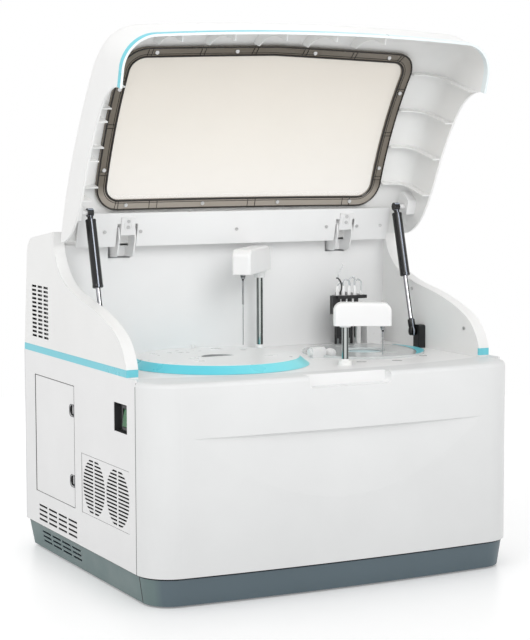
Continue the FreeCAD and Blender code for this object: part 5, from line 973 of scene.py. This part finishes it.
def make_deck_marks():
    """Slots as dark strips of painted shade, each from one point to another with half a width."""
    shape = bmesh.new()
    for start, end, half in SLOTS:
        start, end = Vector(start), Vector(end)
        aside = (end - start).normalized().orthogonal() * half
        corners = [start + aside, start - aside, end - aside, end + aside]
        add_plate(shape, corners, DECK_TOP + SLOT_LOW, DECK_TOP + SLOT_HIGH,
                  lambda x, y, z: Vector((x, y, z)))
    piece("deck_slot_shade", shape, "gap", "housing")


CRESCENT_CENTRE = Vector((187, -22))
CRESCENT_RADIUS = 109.0
CRESCENT_WIDTH = 17.0
CRESCENT_TIP = 0.2
CRESCENT_TAPER = 0.8
CRESCENT_START = math.radians(-62)
CRESCENT_END = math.radians(30)
CRESCENT_LOW = 0.1
CRESCENT_HIGH = 0.6
CRESCENT_STEPS = 40


def make_ring_crescent():
    top = box_mm("reaction_cover")[1].z
    low, high = top + CRESCENT_LOW, top + CRESCENT_HIGH
    outer, inner = [], []
    for index in range(CRESCENT_STEPS + 1):
        share = index / CRESCENT_STEPS
        turn = CRESCENT_START + (CRESCENT_END - CRESCENT_START) * share
        width = CRESCENT_WIDTH * math.sin(math.pi * share) ** CRESCENT_TAPER + CRESCENT_TIP
        direction = Vector((math.cos(turn), math.sin(turn)))
        outer.append(CRESCENT_CENTRE + direction * CRESCENT_RADIUS)
        inner.append(CRESCENT_CENTRE + direction * (CRESCENT_RADIUS - width))
    shape = bmesh.new()
    levels = (outer, low), (outer, high), (inner, high)
    rows = [[shape.verts.new((x, y, z)) for x, y in line] for line, z in levels]
    for first, second in zip(rows, rows[1:]):
        for index in range(CRESCENT_STEPS):
            shape.faces.new((first[index], first[index + 1], second[index + 1], second[index]))
    piece("ring_crescent", shape, "cyan", "housing")


COLUMN_COLLAR_LIFT = 0.1
COLUMN_COLLAR_PROFILE = [(6.1, 0), (9.4, 0), (9.4, 1.0), (7.8, 2.2), (7.2, 9.0), (6.4, 10.0), (6.1, 10.2)]


def make_arm_collars():
    shape = bmesh.new()
    for side in ("right", "left"):
        low, high = box_mm(side + "_arm_column")
        middle = (low + high) / 2
        foot = (middle.x, middle.y, DECK_TOP + COLUMN_COLLAR_LIFT)
        add_turned(shape, foot, UP, COLUMN_COLLAR_PROFILE)
    piece("arm_column_collars", shape, "fitting", "housing")


PROBE_TOPS = {"right": (121, -201, 425), "left": (-39.3, 9.1, 504)}
PROBE_COLLAR_PROFILE = [
    (2.0, -0.2), (4.2, -0.2), (4.4, 4.5), (3.0, 7.0), (2.2, 8.5), (2.0, 11.0), (0.9, 11.3),
]


def make_probe_collars():
    for side, top in PROBE_TOPS.items():
        shape = bmesh.new()
        add_turned(shape, top, -UP, PROBE_COLLAR_PROFILE, segments=28)
        piece(side + "_probe_collar", shape, "black", side + "_swing")


# Side door: dark rims round its finger catches

CATCH_HEIGHTS = (278.0, 156.0)
CATCH_HALF = 10.2
CATCH_FRONT = 44.2
CATCH_REAR = 64.3
CATCH_FRONT_RADIUS = 1.0
CATCH_REAR_RADIUS = 7.0
CATCH_RAISED = 0.1
CATCH_RIM_RADIUS = 0.7


def make_door_catches():
    shape = bmesh.new()
    x = -SIDE_X / MM - CATCH_RAISED
    radii = (CATCH_FRONT_RADIUS, CATCH_REAR_RADIUS, CATCH_REAR_RADIUS, CATCH_FRONT_RADIUS)
    for height in CATCH_HEIGHTS:
        outline = rounded_box((CATCH_FRONT, height - CATCH_HALF), (CATCH_REAR, height + CATCH_HALF), radii)
        add_tube(shape, [Vector((x, y, z)) for y, z in outline], CATCH_RIM_RADIUS, closed=True)
    piece("door_catch_rims", shape, "tray", "door")


make_panel_joints()
make_shadow_gap()
make_needle_sleeves()
make_seal_beads()
make_hinge_rings()
make_strut_details()
make_strut_brackets()
make_wash_details()
make_deck_marks()
make_ring_crescent()
make_arm_collars()
make_probe_collars()
make_door_catches()


# Floor, lights and camera

LIGHT_WHITE = (1, 1, 1, 1)
BLACK = (0, 0, 0, 1)
AMBIENT = 0.80
FLOOR_REACH = 30.0
FLOOR_FADE = (0.9, 2.2)
FLOOR_SPECULAR = 0.5
FLOOR_LIFT = 0.22


def seen_rays(made):
    """1 for rays that show the backdrop itself: straight, mirrored or through clear parts."""
    path = made.add("ShaderNodeLightPath")
    return made.combine("MAXIMUM", path.outputs["Is Camera Ray"], path.outputs["Is Glossy Ray"],
                        path.outputs["Is Transmission Ray"])


def make_floor():
    """Pale paper that turns into plain white further out."""
    mesh = bpy.data.meshes.new("floor")
    corners = [(-1, -1), (1, -1), (1, 1), (-1, 1)]
    mesh.from_pydata([(x * FLOOR_REACH, y * FLOOR_REACH, 0) for x, y in corners], [], [(0, 1, 2, 3)])
    floor = bpy.data.objects.new("floor", mesh)
    bpy.context.scene.collection.objects.link(floor)
    made = Nodes("floor_paper")
    reach = made.distance((0, 0))
    far = made.step(reach, *FLOOR_FADE)
    near = made.step(reach, *FLOOR_FADE, 1, 0)
    clouds = made.noise(made.place(), scale=3.0, detail=3.0)
    paper = made.mix(clouds, srgb(238, 238, 238), srgb(243, 243, 243))
    lift = made.combine("MULTIPLY", near, seen_rays(made), FLOOR_LIFT)
    made.shade(
        Base_Color=made.mix(far, paper, BLACK),
        Specular_IOR_Level=made.combine("MULTIPLY", near, FLOOR_SPECULAR),
        Emission_Strength=made.combine("ADD", far, lift),
        Emission_Color=LIGHT_WHITE,
        Roughness=0.35)
    mesh.materials.append(made.owner)


def make_world():
    world = bpy.data.worlds.new("studio")
    bpy.context.scene.world = world
    made = Nodes(owner=world, shader="Background")
    made.shade(Color=LIGHT_WHITE, Strength=made.step(seen_rays(made), 0, 1, AMBIENT, 1.0))


def make_lamp(name, place, target, size, power, spread=180):
    data = bpy.data.lights.new(name, "AREA")
    data.shape = "RECTANGLE"
    data.size, data.size_y = size
    data.energy = power
    data.spread = math.radians(spread)
    lamp = bpy.data.objects.new(name, data)
    lamp.location = place
    lamp.visible_camera = False
    lamp.rotation_euler = (Vector(target) - Vector(place)).to_track_quat("-Z", "Y").to_euler()
    bpy.context.scene.collection.objects.link(lamp)


def make_camera():
    data = bpy.data.cameras.new("camera")
    data.lens = CAMERA_LENS
    data.sensor_width = SENSOR_WIDTH
    data.shift_x, data.shift_y = CAMERA_SHIFT
    data.clip_end = 100.0
    camera = bpy.data.objects.new("camera", data)
    turn = (CAMERA_TARGET - CAMERA_PLACE).to_track_quat("-Z", "Y").to_matrix().to_4x4()
    roll = Matrix.Rotation(math.radians(CAMERA_ROLL), 4, "Z")
    camera.matrix_world = Matrix.Translation(CAMERA_PLACE) @ turn @ roll
    bpy.context.scene.collection.objects.link(camera)
    bpy.context.scene.camera = camera


make_floor()
make_world()
make_lamp("key", place=(-2.4, -1.4, 2.9), target=(0, 0, 0.4), size=(2.0, 2.0), power=24)
make_lamp("front_fill", place=(0.1, -3.2, 1.2), target=(0, 0, 0.5), size=(2.2, 1.6), power=3)
make_lamp("inner_fill", place=(-0.1, -1.2, 1.2), target=(0, 0.12, 0.70), size=(0.7, 0.7), power=1.0,
          spread=60)
make_camera()
bpy.context.scene.view_settings.view_transform = "Standard"
